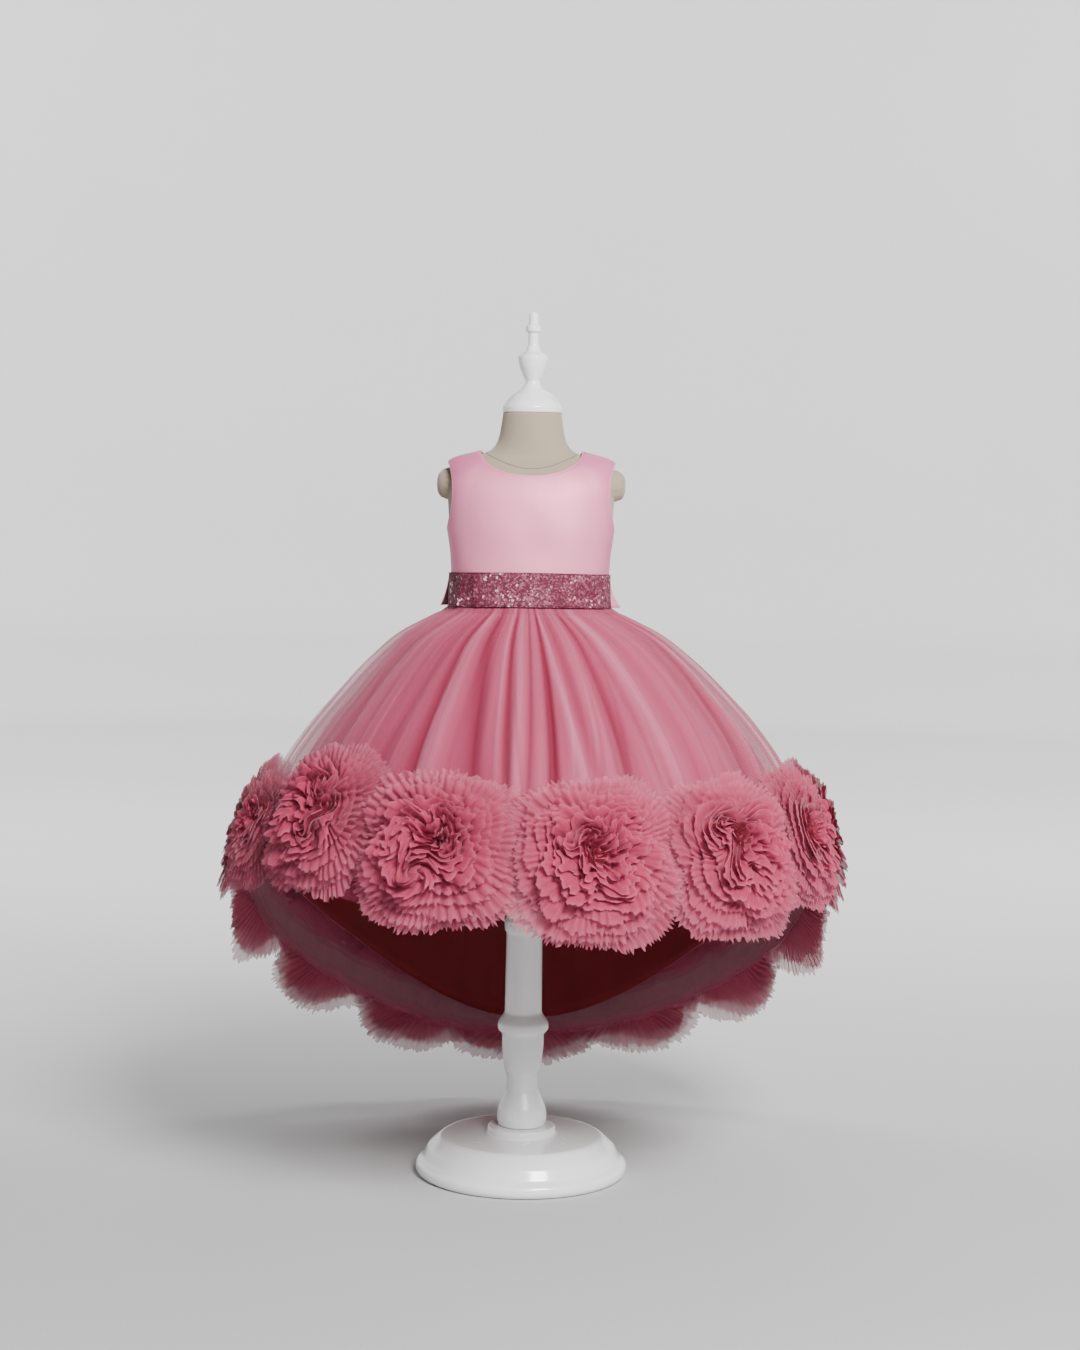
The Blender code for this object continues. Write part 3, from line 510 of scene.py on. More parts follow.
# Torso point moved straight out by the bodice's ease and a distance.
def offForm(azimuth, row, distance):
    azimuth, row = np.broadcast_arrays(azimuth, row)
    across = torsoPoint(azimuth + 1.0, row) - torsoPoint(azimuth - 1.0, row)
    upward = torsoPoint(azimuth, row + 0.35) - torsoPoint(azimuth, row - 0.35)
    normal = unit(np.cross(across, upward))
    place = torsoPoint(azimuth, row)
    share = ramp(place[..., 2], form["easeFrom"], form["easeTo"] - form["easeFrom"])
    ease = form["waistEase"] + (form["chestEase"] - form["waistEase"]) * share ** 2 * (3 - 2 * share)
    return place + normal * (ease + distance)[..., None]


def makeForm():
    count, sides = form["rings"], form["sides"]
    turn = np.linspace(0, 360, sides, endpoint=False)[None, :]
    rings = torsoPoint(turn, np.linspace(0, formNumbers[-1], count)[:, None])
    halfDepth, halfHeight = form["stumpHalf"]
    reach = np.hypot(rings[..., 1] / halfDepth, (rings[..., 2] - form["stumpHeight"]) / halfHeight)
    swell = form["stumpReach"] * np.sqrt(np.clip(1 - reach ** 3, 0, 1))
    rings[..., 0] += np.sign(rings[..., 0]) * swell
    points = np.concatenate([rings.reshape(-1, 3), [[0, 0, rings[0, 0, 2]], [0, 0, rings[-1, 0, 2]]]])
    piece = makePiece("formTorso", points, cappedCells(count, sides), [finishes["linen"]])
    belongs(piece, "linen", "form_torso")
    # the cover's seam round the foot of the neck dips in front and behind
    around = np.linspace(-180, 180, sides, endpoint=False)
    dip = np.where(np.abs(around) < 90, form["seamFront"], form["seamBack"])
    seam = form["seamSide"] + (dip - form["seamSide"]) * np.cos(np.radians(around)) ** 2
    makeEdging("neckSeam", torsoPoint(around, rowAt(seam)), form["seamWidth"], finishes["seam"],
               "linen", closed=True)
    for name, (node, sides, fillet, profile) in turnedWood.items():
        belongs(makeTurned(name, profile, sides, fillet, finishes["paint"]), "white_paint", node)


makeForm()
print("form and stand made")


# Bodice: a front panel and two back panels over the form, joined by a closed zip.
bodice = {
    "waist": 0.7217, "wall": 0.0013, "gap": 0.0003, "neckHalf": 0.0620, "neckShoulder": 0.9085,
    "neckFront": 0.8795, "neckBack": 0.8975, "armTop": 0.8945, "armBottom": 0.8140,
    "armDepth": 0.0400, "armSpread": 0.06, "sideShare": 5 / 13, "strapShare": 0.36,
    "strapFrom": 0.60, "neckSpread": 1.3, "rows": 53, "columns": 51, "degreeWidth": 0.0016,
    "evening": 1500, "zipHalf": 0.0030, "edging": 0.0009, "zipGroove": 0.0012,
    # air that the armhole's edge stands off, and the heights between which it does
    "gape": 0.0032, "gapeFrom": 0.830, "gapeTo": 0.912, "turnsOver": 0.872,
    # heights over which the air and the drag lines grow, the air ends and the shoulder turns
    "gapeGrows": 0.04, "dragGrows": 0.02, "gapeEnds": 0.02, "turnsWithin": 0.030,
    # sine of the azimuth from which cloth counts as the side's, and small waves all over
    "sideFrom": 0.80, "wave": 0.0003,
    # flat width of the front and of a back panel, flat height, the share that their cut-outs
    # leave, height up the weave, and flat size of the zip
    "frontCut": 0.275, "backCut": 0.138, "tall": 0.200, "keeps": 0.85, "weaveTall": 0.19,
    "zipCut": (0.006, 0.18), "zipColumns": 5,
    # height, azimuth, length up, width round, depth of each soft drag line
    "drags": ((0.742, -38, 0.020, 9, 0.0007), (0.738, -22, 0.016, 6, -0.0006),
              (0.745, 30, 0.022, 8, 0.0007), (0.740, 8, 0.018, 7, -0.0005),
              (0.800, -66, 0.030, 7, 0.0009), (0.806, 68, 0.030, 7, 0.0009),
              (0.825, -50, 0.025, 8, -0.0006), (0.830, 54, 0.025, 8, -0.0006),
              (0.755, 130, 0.020, 8, 0.0007), (0.750, 152, 0.018, 7, -0.0006),
              (0.757, 228, 0.020, 8, 0.0007), (0.750, 208, 0.018, 7, -0.0006)),
}


def turnBetween(here, there):
    return (here - there + 180.0) % 360.0 - 180.0


# Azimuth of the torso point of a row that lies at a given x or y.
def azimuthOf(row, front, x=None, y=None):
    halfWidth, depth, square = (smoothCurve(row, formNumbers, form["rows"][:, column])
                                for column in (1, 2 if front else 3, 4))
    if x is None:
        x = halfWidth * (1 - np.minimum(np.abs(y) / depth, 1) ** square) ** (1 / square)
    else:
        y = depth * (1 - np.minimum(np.abs(x) / halfWidth, 1) ** square) ** (1 / square)
    turn = np.degrees(np.arctan2(np.abs(x), np.abs(y)))
    return turn if front else 180.0 - turn


# Moves a grid's inner points until a * across'' - 2 b * twist + c * up'' = 0 in metres along the
# form, so that its lines run smoothly between the edges and never cross.
def evenGrid(turn, rows):
    steps = np.hypot(np.diff(form["rows"][:, 0]), np.diff(form["rows"][:, 1]))
    length = np.concatenate([[0.0], np.cumsum(steps)])
    place = np.stack([turn * bodice["degreeWidth"], np.interp(rows, formNumbers, length)], axis=-1)
    for _ in range(bodice["evening"]):
        left, right = place[1:-1, :-2], place[1:-1, 2:]
        below, above = place[:-2, 1:-1], place[2:, 1:-1]
        across, up = (right - left) / 2, (above - below) / 2
        twist = (place[2:, 2:] - place[2:, :-2] - place[:-2, 2:] + place[:-2, :-2]) / 4
        a, c = (up ** 2).sum(-1, keepdims=True), (across ** 2).sum(-1, keepdims=True)
        b = (across * up).sum(-1, keepdims=True)
        place[1:-1, 1:-1] = (a * (left + right) + c * (below + above) - 2 * b * twist) / (2 * (a + c))
    return place[..., 0] / bodice["degreeWidth"], np.interp(place[..., 1], length, formNumbers)


# Azimuth and row over half a panel: a patch between waist, side with armhole, shoulder with
# neckline, and middle, the armhole's bend kept whole across the strap.
def halfPanel(front):
    across = np.linspace(0, 1, bodice["columns"])[None, :]
    up = np.linspace(0, 1, bodice["rows"])[:, None]
    strap, side, hair = bodice["strapShare"], bodice["sideShare"], 1e-9
    sideRow, neckRow = rowAt(bodice["armBottom"]), rowAt(bodice["neckShoulder"])
    waistRow, tipRow = rowAt(bodice["waist"]), rowAt(bodice["armTop"])
    drop = bodice["neckShoulder"] - bodice["neckFront" if front else "neckBack"]
    seam = np.clip(across / strap, 0, 1)
    neck = ramp(across, strap, 1 - strap) ** bodice["neckSpread"]
    neckRows = rowAt(bodice["neckShoulder"] - drop * np.sin(neck * math.pi / 2))
    neckTurn = azimuthOf(neckRows, front, x=bodice["neckHalf"] * np.cos(neck * math.pi / 2))
    inStrap = across <= strap + hair
    topTurn = np.where(inStrap, 90.0, neckTurn)
    topRows = np.where(inStrap, tipRow + (neckRow - tipRow) * seam, neckRows)
    arm = ramp(up, side, 1 - side)
    arm = arm - bodice["armSpread"] * np.sin(2 * math.pi * arm)
    armRows = rowAt(bodice["armBottom"] + (bodice["armTop"] - bodice["armBottom"])
                    * (1 - np.cos(math.pi * arm)) / 2)
    armTurn = azimuthOf(armRows, front, y=bodice["armDepth"] * np.sin(math.pi * arm).clip(0) ** 0.9)
    onSide = up <= side + hair
    sideTurn = np.where(onSide, 90.0, armTurn)
    sideRows = np.where(onSide, waistRow + (sideRow - waistRow) * up / side, armRows)
    keep = (1 - neck) ** 2
    rise = ramp(up, bodice["strapFrom"], 1 - bodice["strapFrom"]) ** 2
    waistTurn = 90.0 * (1 - across) if front else 90.0 * (1 + across)
    turn = (1 - up) * waistTurn + up * topTurn + keep * (sideTurn - 90.0)
    rows = (keep * (sideRows + (topRows - tipRow) * rise)
            + (1 - keep) * (waistRow + (topRows - waistRow) * up))
    turn, rows = evenGrid(turn, rows)
    gap = np.degrees(bodice["gap"] / 2 / form["waistRadius"])
    if front:
        return np.minimum(turn, 90.0 - gap), rows
    radius = np.linalg.norm(torsoPoint(turn, rows)[..., :2], axis=-1)
    return np.clip(turn, 90.0 + gap, 180.0 - np.degrees((bodice["zipHalf"] + bodice["gap"]) / radius)), rows


# Sum of soft lines: depth times a bell over height and over azimuth.
def dragRelief(azimuth, z):
    relief = bodice["wave"] * np.sin(np.radians(azimuth) * 7 + z * 60)
    for height, place, long, wide, depth in bodice["drags"]:
        relief = relief + depth * np.exp(-((z - height) / long) ** 2
                                         - (turnBetween(azimuth, place) / wide) ** 2)
    return relief


def bodicePanel(name, node, turn, rows, width):
    z = torsoPoint(turn, rows)[..., 2]
    side = ramp(np.abs(np.sin(np.radians(turn))), bodice["sideFrom"], 1 - bodice["sideFrom"])
    gape = (bodice["gape"] * side * ramp(z, bodice["gapeFrom"], bodice["gapeGrows"])
            * (1 - ramp(z, bodice["gapeTo"] - bodice["gapeEnds"], bodice["gapeEnds"])))
    lift = dragRelief(turn, z) * ramp(z, bodice["waist"], bodice["dragGrows"]) + gape
    outer, inner = offForm(turn, rows, bodice["wall"] + lift), offForm(turn, rows, lift)
    shoulder = ramp(z, bodice["turnsOver"], bodice["turnsWithin"])
    # painted shade: the colour turns towards a darker rose on the sides and over the shoulder tops
    deep = np.clip(1.3 * side ** 1.5 + 1.1 * shoulder, 0, 1)
    piece = makeShell(name, outer, inner, [finishes["satin"], finishes["shadedInside"]], width,
                      bodice["weaveTall"], {"deep": deep})
    belongs(piece, "satin", node)
    return (outer + inner) / 2


def makeBodice():
    turn, rows = halfPanel(True)
    frontTurn = np.concatenate([-turn, turn[:, -2::-1]], axis=1)
    frontRows = np.concatenate([rows, rows[:, -2::-1]], axis=1)
    front = bodicePanel("bodiceFront", "bodice_front", frontTurn, frontRows, bodice["frontCut"])
    turn, rows = halfPanel(False)
    left, right = (bodicePanel("bodiceBack" + name, "bodice_back_" + name.lower(), sign * turn, rows,
                               bodice["backCut"]) for name, sign in (("Left", 1), ("Right", -1)))
    strap = int(round(bodice["strapShare"] * (bodice["columns"] - 1)))
    arm = int(round(bodice["sideShare"] * (bodice["rows"] - 1)))
    paths = {"neckEdgeFront": front[-1, strap:len(front[0]) - strap],
             "neckEdgeBackLeft": left[-1, strap:], "neckEdgeBackRight": right[-1, strap:],
             "armEdgeFrontRight": front[arm:, 0], "armEdgeFrontLeft": front[arm:, -1],
             "armEdgeBackLeft": left[arm:, 0], "armEdgeBackRight": right[arm:, 0]}
    for name, path in paths.items():
        makeEdging(name, path, bodice["edging"], finishes["satin"], "satin")
    half = np.degrees(bodice["zipHalf"] / np.linalg.norm(torsoPoint(180.0, rows[:, -1])[:, :2], axis=-1))
    across = np.linspace(-1, 1, bodice["zipColumns"])[None]
    zipTurn, zipRows = 180.0 + half[:, None] * across, rows[:, -1:] + 0 * across
    groove = bodice["zipGroove"] * (np.abs(across) - 1) * np.ones((len(rows), 1))
    zipPiece = makeShell("backZip", offForm(zipTurn, zipRows, bodice["wall"] + groove),
                         offForm(zipTurn, zipRows, 0.5 * groove), [finishes["tape"]],
                         *bodice["zipCut"])
    belongs(zipPiece, "zip_tape", "back_zip")


makeBodice()
print("bodice made")


# Sash: a glitter band in front, and satin ends that run round to the back.
sash = {"top": 0.7597, "bottom": 0.7190, "frontLift": 0.0040, "proud": 0.0016, "wall": 0.0013,
        "air": 0.0009, "flare": 0.0100, "satin": 0.0015, "side": 90.0, "opening": 1.8,
        "opensOver": 14.0, "edging": 0.0006, "frontCut": 0.290, "endCut": 0.150, "cutWidth": 0.0425,
        # degrees left free at each end, rows and columns, and small waves all over
        "gap": 0.1, "frontSize": (15, 181), "endSize": (13, 81), "wave": 0.0003,
        # azimuth, width round, depth, lean of each upright crease in the ribbon
        "creases": ((-60, 3.2, 0.0013, 60), (-52, 2.6, -0.0011, 90), (-45, 3.0, 0.0010, -40),
                    (-20, 4.0, 0.0005, 30), (14, 3.5, -0.0005, -60), (37, 3.0, 0.0007, 80),
                    (58, 3.2, 0.0009, -50))}


# Band round the waist: height share up the ribbon, its foot standing off by proud and flare.
def sashBand(name, node, turns, rows, looks, slot, flare, cut):
    share = np.linspace(0, 1, rows)[:, None]
    turn = turns[None, :]
    z = (sash["bottom"] + (sash["top"] - sash["bottom"]) * share
         + sash["frontLift"] * np.cos(np.radians(turn)))
    off = (sash["satin"] + sash["air"] + sash["proud"] * (1 - share) ** 2
           + flare[None, :] * (1 - share) ** 1.5)
    for place, wide, depth, lean in sash["creases"]:
        off = off + depth * np.exp(-((turn - place - lean * (share - 0.5) * 0.12) / wide) ** 2)
    off = off + sash["wave"] * np.sin(np.radians(turn) * 9 + share * 4)
    row = rowAt(z + 0 * turn)
    outer, inner = offForm(turn, row, off + sash["wall"]), offForm(turn, row, off)
    outer[..., 2] = inner[..., 2] = z
    piece = makeShell(name, outer, inner, looks, cut, sash["top"] - sash["bottom"])
    belongs(piece, slot, node)
    return outer


def makeSash():
    end = sash["side"] - sash["gap"]
    (frontRows, frontColumns), (endRows, endColumns) = sash["frontSize"], sash["endSize"]
    turns = np.linspace(-end, end, frontColumns)
    front = sashBand("sashFront", "sash_front", turns, frontRows, [finishes["glitter"]], "glitter",
                     0 * turns, sash["frontCut"])
    back = np.linspace(sash["side"] + sash["gap"], 180 - 2 * sash["gap"], endColumns)
    flare = sash["flare"] * (0.9 + 0.1 * np.cos(2 * math.pi * (back - sash["side"]) / 90.0))
    # one end opens out behind its start and so shows its face, a paler satin painted as lit; the other
    # shows its inside, the underskirt's darker rose painted as shade
    opened = sash["opening"] * flare * ramp(back, sash["side"], sash["opensOver"]) ** 0.8
    for name, sign, inside, stand in (("Left", 1, "litSatin", opened), ("Right", -1, "lining", flare)):
        sashBand("sashEnd" + name, "sash_end_" + name.lower(), sign * back, endRows,
                 [finishes["satin"], finishes[inside]], "satin", stand, sash["endCut"])
    for name, row in (("sashEdgeTop", -1), ("sashEdgeFoot", 0)):
        makeEdging(name, front[row], sash["edging"], finishes["glitter"], "glitter", sides=6)


makeSash()
print("sash made")


# Skirt: two layers of net over an opaque underskirt.
skirt = {
    # height and radius of the net
    "profile": np.array([
        (0.7217, 0.0985), (0.7180, 0.0995), (0.7080, 0.1200), (0.6890, 0.1580), (0.6540, 0.2037),
        (0.6120, 0.2457), (0.5680, 0.2848), (0.5300, 0.3125), (0.5000, 0.3295), (0.4500, 0.3500),
        (0.4000, 0.3625), (0.3000, 0.3705), (0.2000, 0.3690), (0.0500, 0.3600)]),
    # azimuth and height of the two hems
    "netHem": np.array([
        (0, 0.396), (30, 0.394), (60, 0.402), (80, 0.392), (100, 0.342), (116, 0.262),
        (133, 0.193), (150, 0.137), (165, 0.105), (180, 0.098)]),
    "liningHem": np.array([
        (0, 0.430), (60, 0.430), (90, 0.405), (113, 0.336), (134, 0.258), (150, 0.193),
        (161, 0.155), (173, 0.130), (180, 0.126)]),
    # hair-thin crease lines: azimuth at the upper and lower mark, and tone, painted shade below 0 and
    # painted highlight above
    "hairlines": ((-59, -51.3, -0.5), (-44, -43, 0.4), (-27.0, -28.2, -0.7), (-17, -13.5, -0.5),
                  (-9.6, -8.0, -0.5), (-6.5, -2.5, -0.5), (5.8, 3.9, -0.7), (10, 8.6, 0.5),
                  (16.4, 14.0, 0.5), (17.6, 15.2, -0.4), (25.0, 21.5, -0.6), (33.8, 33.8, -0.6),
                  (47, 44, -0.4), (70.5, 62, -0.6), (104, 108, -0.5), (127, 131, -0.5),
                  (152, 150, -0.5), (176, 172, -0.5), (199, 203, -0.5), (226, 223, -0.5),
                  (251, 254, -0.5)),
    # half width of a hairline in degrees, its rise, sideways sweep and slimming half way down
    "hairWidth": 0.42, "hairRise": 0.0016, "sway": 0.009, "slim": 0.010,
    # azimuth at the upper and lower mark, half width to the left and right, rise, tone (painted shade below
    # 0, painted highlight above)
    "folds": (
        (-76, -74, 2.5, 2.5, 0.0040, 0.4), (-66, -64, 2.2, 1.6, -0.0040, -0.5),
        (-55.5, -54, 1.6, 1.0, -0.0035, -0.6), (-52.5, -51.5, 0.9, 3.0, 0.0040, 0.4),
        (-36, -38, 2.4, 1.2, -0.0035, -0.5), (-33.5, -34, 1.2, 1.6, 0.0030, 0.3),
        (-28.9, -27.9, 3.4, 0.7, -0.0085, -1.1), (-26.6, -25.8, 0.8, 3.4, 0.0055, 0.6),
        (-18.0, -14.0, 3.0, 2.6, -0.0075, -0.9), (-10.2, -7.9, 1.0, 0.8, 0.0045, 0.8),
        (-8.4, -6.5, 0.9, 1.3, -0.0050, -1.0), (-4.8, -4.3, 1.5, 1.8, 0.0050, 0.7),
        (-1.0, -1.5, 0.7, 0.7, -0.0030, -0.6), (1.6, 1.2, 1.4, 1.4, 0.0025, 0.1),
        (4.5, 4.5, 1.0, 1.1, -0.0085, -1.3), (8.0, 11.6, 1.6, 0.9, 0.0065, 0.9),
        (11.5, 14.2, 0.9, 1.8, -0.0055, -0.6), (17.4, 17.2, 2.2, 1.6, 0.0050, 0.35),
        (21.0, 21.4, 0.8, 2.4, -0.0065, -0.9), (24.6, 25.4, 1.8, 1.6, 0.0035, 0.3),
        (27.2, 29.6, 1.0, 1.5, -0.0050, -0.6), (31.5, 32.8, 1.8, 4.0, 0.0080, 0.9),
        (43.0, 43.5, 3.5, 3.5, -0.0030, 0.1), (51.0, 49.0, 4.0, 3.0, 0.0040, 0.2),
        (63.0, 56.6, 2.4, 0.9, -0.0080, -1.0), (66.0, 60.0, 1.0, 1.6, 0.0065, 0.7),
        (71.0, 68.0, 3.0, 3.0, -0.0050, -0.6), (79.0, 77.0, 2.5, 2.0, 0.0045, 0.4),
        (92, 91, 2.2, 1.0, -0.0045, -0.6), (99, 101, 1.2, 3.6, 0.0060, 0.6),
        (108, 109, 1.2, 1.6, -0.0040, -0.5), (115, 116, 3.0, 1.0, -0.0075, -1.0),
        (119, 120, 0.9, 2.8, 0.0060, 0.6), (129, 127, 2.6, 2.6, 0.0040, 0.3),
        (135, 134, 0.9, 1.8, -0.0050, -0.7), (142, 143, 2.6, 2.0, -0.0070, -0.9),
        (147, 149, 1.0, 3.0, 0.0060, 0.7), (157, 156, 2.0, 2.0, 0.0035, 0.2),
        (162, 163, 1.0, 1.3, -0.0045, -0.7), (169, 169, 2.8, 0.9, -0.0075, -1.0),
        (173, 174, 0.9, 3.0, 0.0060, 0.7), (182, 181, 0.8, 1.0, -0.0040, -0.7),
        (188, 187, 2.4, 2.0, 0.0045, 0.5), (195, 196, 1.0, 2.8, -0.0075, -1.0),
        (203, 202, 2.8, 1.6, 0.0055, 0.6), (209, 210, 0.8, 1.2, -0.0035, -0.5),
        (217, 216, 3.0, 2.0, 0.0050, 0.4), (223, 222, 1.0, 3.0, -0.0070, -1.0),
        (231, 233, 2.8, 1.0, 0.0055, 0.6), (236, 237, 0.9, 1.6, -0.0045, -0.6),
        (245, 243, 2.0, 2.6, 0.0040, 0.3), (251, 250, 2.6, 1.0, -0.0065, -0.9),
        (255, 256, 0.9, 3.0, 0.0060, 0.6), (267, 266, 1.6, 1.4, -0.0040, -0.5)),
    # shares past the two marks at which the lines stop leaning
    "upperMark": 0.660, "lowerMark": 0.530, "leanFrom": -0.4, "leanTo": 1.3,
    "gathers": 22, "gatherDepth": 0.0012, "gatherShading": 0.10,
    "foldStart": 0.035, "foldGrowth": 0.33, "waistReach": 0.40, "bandFrom": 0.0882,
    "bandFade": 0.050, "wall": 0.0010, "gap": 0.0003, "netTop": 0.7214, "liningTop": 0.7110,
    # bow of the sway down the skirt, and how far down the net's crowding and tone reach
    "bowPower": 0.9, "bowEnd": 0.88, "crowdReach": 0.14, "toneReach": 0.04, "grooveCrowd": 0.35,
    # share of the way down and inset of the underskirt
    "liningInset": ((0.0, 0.0020), (0.06, 0.0090), (0.15, 0.0170), (0.32, 0.0230), (1.0, 0.0320)),
    "netSize": (56, 640), "innerSize": (30, 300), "liningSize": (42, 320),
    "innerInset": 0.0100, "hemWave": 0.0015, "hemWaves": 37, "waistAir": 0.0025,
    "hazeHeight": 0.060, "hazeGrows": 0.010, "hazeEnds": 0.02,
    # strength of the small pleats in net, inner net and lining, and the inner net's turn of them
    "netFine": 1.0, "innerFine": 1.2, "liningFine": 0.5, "innerShift": 0.02, "liningFolds": 0.70,
    # flat width and length as they show
    "cuts": {"liningFront": (0.77, 0.47), "liningBack": (0.88, 0.68), "netFront": (0.88, 0.50),
             "netBack": (1.00, 0.76), "innerNetFront": (0.86, 0.50), "innerNetBack": (0.98, 0.76)},
}


def hemHeight(azimuth, table):
    return smoothCurve(np.abs(turnBetween(azimuth, 0.0)), table[:, 0], table[:, 1])


# Rise and tone of the folds, the tone being painted shade in the grooves and painted highlight on the
# ridges: each is a bell with its own width on either side, along a line that runs straight from one azimuth
# at the upper mark to another at the lower mark.
def foldsAt(azimuth, z):
    angle = np.radians(azimuth)
    gathers = np.cos(skirt["gathers"] * angle + 1.4 * np.sin(3 * angle))
    # the gathers' tone is painted shade in their hollows and painted highlight on their crests
    rise, tone = skirt["gatherDepth"] * gathers, skirt["gatherShading"] * gathers
    share = np.clip((skirt["upperMark"] - z) / (skirt["upperMark"] - skirt["lowerMark"]),
                    skirt["leanFrom"], skirt["leanTo"])
    for upper, lower, left, right, height, shade in skirt["folds"]:
        away = turnBetween(azimuth, upper + (lower - upper) * share)
        bell = np.exp(-(away / np.where(away < 0, left, right)) ** 2)
        rise, tone = rise + height * bell, tone + shade * bell
    for upper, lower, shade in skirt["hairlines"]:
        away = turnBetween(azimuth, upper + (lower - upper) * share)
        line = np.exp(-(away / skirt["hairWidth"]) ** 2) * ramp(share, skirt["leanFrom"], 1)
        rise, tone = rise + skirt["hairRise"] * shade * line, tone + shade * line
    return rise, tone


# Small uneven pleats that start at the waist seam and smooth out lower down.
def fineGathers(azimuth, down, shift=0.0):
    angle = np.radians(azimuth) + shift
    near = (np.sin(83 * angle + 2.1 * np.sin(4 * angle))
            + 0.7 * np.sin(131 * angle + 1.3 * np.sin(9 * angle) + 1))
    mid = (np.sin(47 * angle + 1.9 * np.sin(6 * angle) + 0.5)
           + 0.6 * np.sin(71 * angle + 1.5 * np.sin(5 * angle)))
    return ramp(down, 0, 0.03) * (0.0008 * near * np.exp(-(down / 0.20) ** 2)
                                  + 0.0005 * mid * np.exp(-((down - 0.25) / 0.30) ** 2))


# Radius of the profile, eased to the waist's oval near the top, plus folds that grow on the way
# down and die out at the hem band, less the inset, slimmed and swayed by a bow down the skirt; and
# the folds' tone there, their painted shade and highlight.
def skirtPoint(azimuth, z, inset=0.0, folds=1.0, fine=0.0, shift=0.0):
    azimuth, z = np.broadcast_arrays(np.asarray(azimuth, float), np.asarray(z, float))
    angle = np.radians(azimuth)
    hem = hemHeight(azimuth, skirt["netHem"])
    down = (bodice["waist"] - z) / (bodice["waist"] - hem)
    band = ramp(z - hem, skirt["bandFrom"], skirt["bandFade"])
    strength = ramp(down, skirt["foldStart"], skirt["foldGrowth"]) * band
    profile = skirt["profile"][::-1]
    waist = np.linalg.norm(torsoPoint(azimuth, rowAt(bodice["waist"]))[..., :2], axis=-1)
    flat = ((profile[-1, 1] - skirt["waistAir"] - waist)
            * (1 - ramp(down, 0, skirt["waistReach"])))
    rise, tone = foldsAt(azimuth, z)
    radius = (smoothCurve(z, profile[:, 0], profile[:, 1]) - flat - inset
              + folds * strength * rise + fine * fineGathers(azimuth, down, shift))
    tone = tone * band * np.clip(down / skirt["toneReach"], 0.5, 1)
    bow = np.sin(math.pi * np.clip(down, 0, 1) ** skirt["bowPower"] * skirt["bowEnd"])
    sway, radius = skirt["sway"] * bow, radius * (1 - skirt["slim"] * bow)
    return np.stack([radius * np.sin(angle) + sway, -radius * np.cos(angle), z], axis=-1), tone


def panelTurns(front, columns):
    end = 90.0 - np.degrees(skirt["gap"] / 2 / form["waistRadius"])
    turns = np.linspace(-end, end, columns)
    return turns if front else 180.0 + turns


# One layer of net, waist to hem, with a soft wave in its raw hem.
def netPanel(name, nodes, front, size, look, inset, fine, shift):
    rows, columns = size
    turns = panelTurns(front, columns)[None, :]
    share = np.linspace(0, 1, rows)[:, None]
    wave = skirt["hemWave"] * np.sin(np.radians(turns) * skirt["hemWaves"])
    hem = hemHeight(turns, skirt["netHem"]) + wave
    z = skirt["netTop"] + (hem - skirt["netTop"]) * share
    points, tone = skirtPoint(turns, z, inset * ramp(share, 0, 0.1), 1.0, fine, shift)
    down = (bodice["waist"] - z) / (bodice["waist"] - hem)
    crowd = (np.exp(-down / skirt["crowdReach"])
             + skirt["grooveCrowd"] * np.clip(-tone, 0, 1) * (1 - down))
    above = z - hem + 0 * tone
    haze = (ramp(above, 0, skirt["hazeGrows"])
            * (1 - ramp(above, skirt["hazeHeight"] - skirt["hazeEnds"], skirt["hazeEnds"])))
    points, cells = points.reshape(-1, 3), cellsOf(rows, columns)
    step, spread = outwardStep(points, cells), spreadOf(rows, columns, False, *skirt["cuts"][name])
    # tone carries the folds' painted shade and highlight; haze, on the back panel only, the hem band's grey
    # painted light
    marks = {"gather": crowd.clip(0, 1), "tone": tone.clip(-1, 1), "haze": haze * (not front)}
    piece = makePiece(name, points, cells[:, ::step], [look], spread[:, ::step], marks=marks)
    belongs(piece, "tulle", *nodes)


# Opaque underskirt: the skirt's form moved in, with softer folds, pink out and, inside, a dark red painted
# as shade.
def liningPanel(name, node, front):
    rows, columns = skirt["liningSize"]
    turns = panelTurns(front, columns)[None, :]
    share = np.linspace(0, 1, rows)[:, None]
    hem = hemHeight(turns, skirt["liningHem"])
    z = skirt["liningTop"] + (hem - skirt["liningTop"]) * share
    places, insets = np.array(skirt["liningInset"]).T
    inset = np.interp(share, places, insets) + 0 * hem
    folds = skirt["liningFolds"] * ramp(share, 0.05, 0.3)
    outer, tone = skirtPoint(turns, z, inset, folds, skirt["liningFine"])
    inner = skirtPoint(turns, z, inset + skirt["wall"], folds, skirt["liningFine"])[0]
    piece = makeShell(name, outer, inner, [finishes["lining"], finishes["shadedInside"]],
                      *skirt["cuts"][name], marks={"tone": tone.clip(-1, 1)})
    belongs(piece, "lining", node)


def makeSkirt():
    sides = (("Front", True), ("Back", False))
    for side, front in sides:
        liningPanel("lining" + side, "lining_" + side.lower(), front)
    for side, front in sides:
        netPanel("net" + side, ["skirt_" + side.lower()], front, skirt["netSize"],
                 finishes["tulle"], 0.0, skirt["netFine"], 0.0)
    for side, front in sides:
        netPanel("innerNet" + side, [], front, skirt["innerSize"], finishes["underTulle"],
                 skirt["innerInset"], skirt["innerFine"], skirt["innerShift"])


makeSkirt()
print("skirt made")


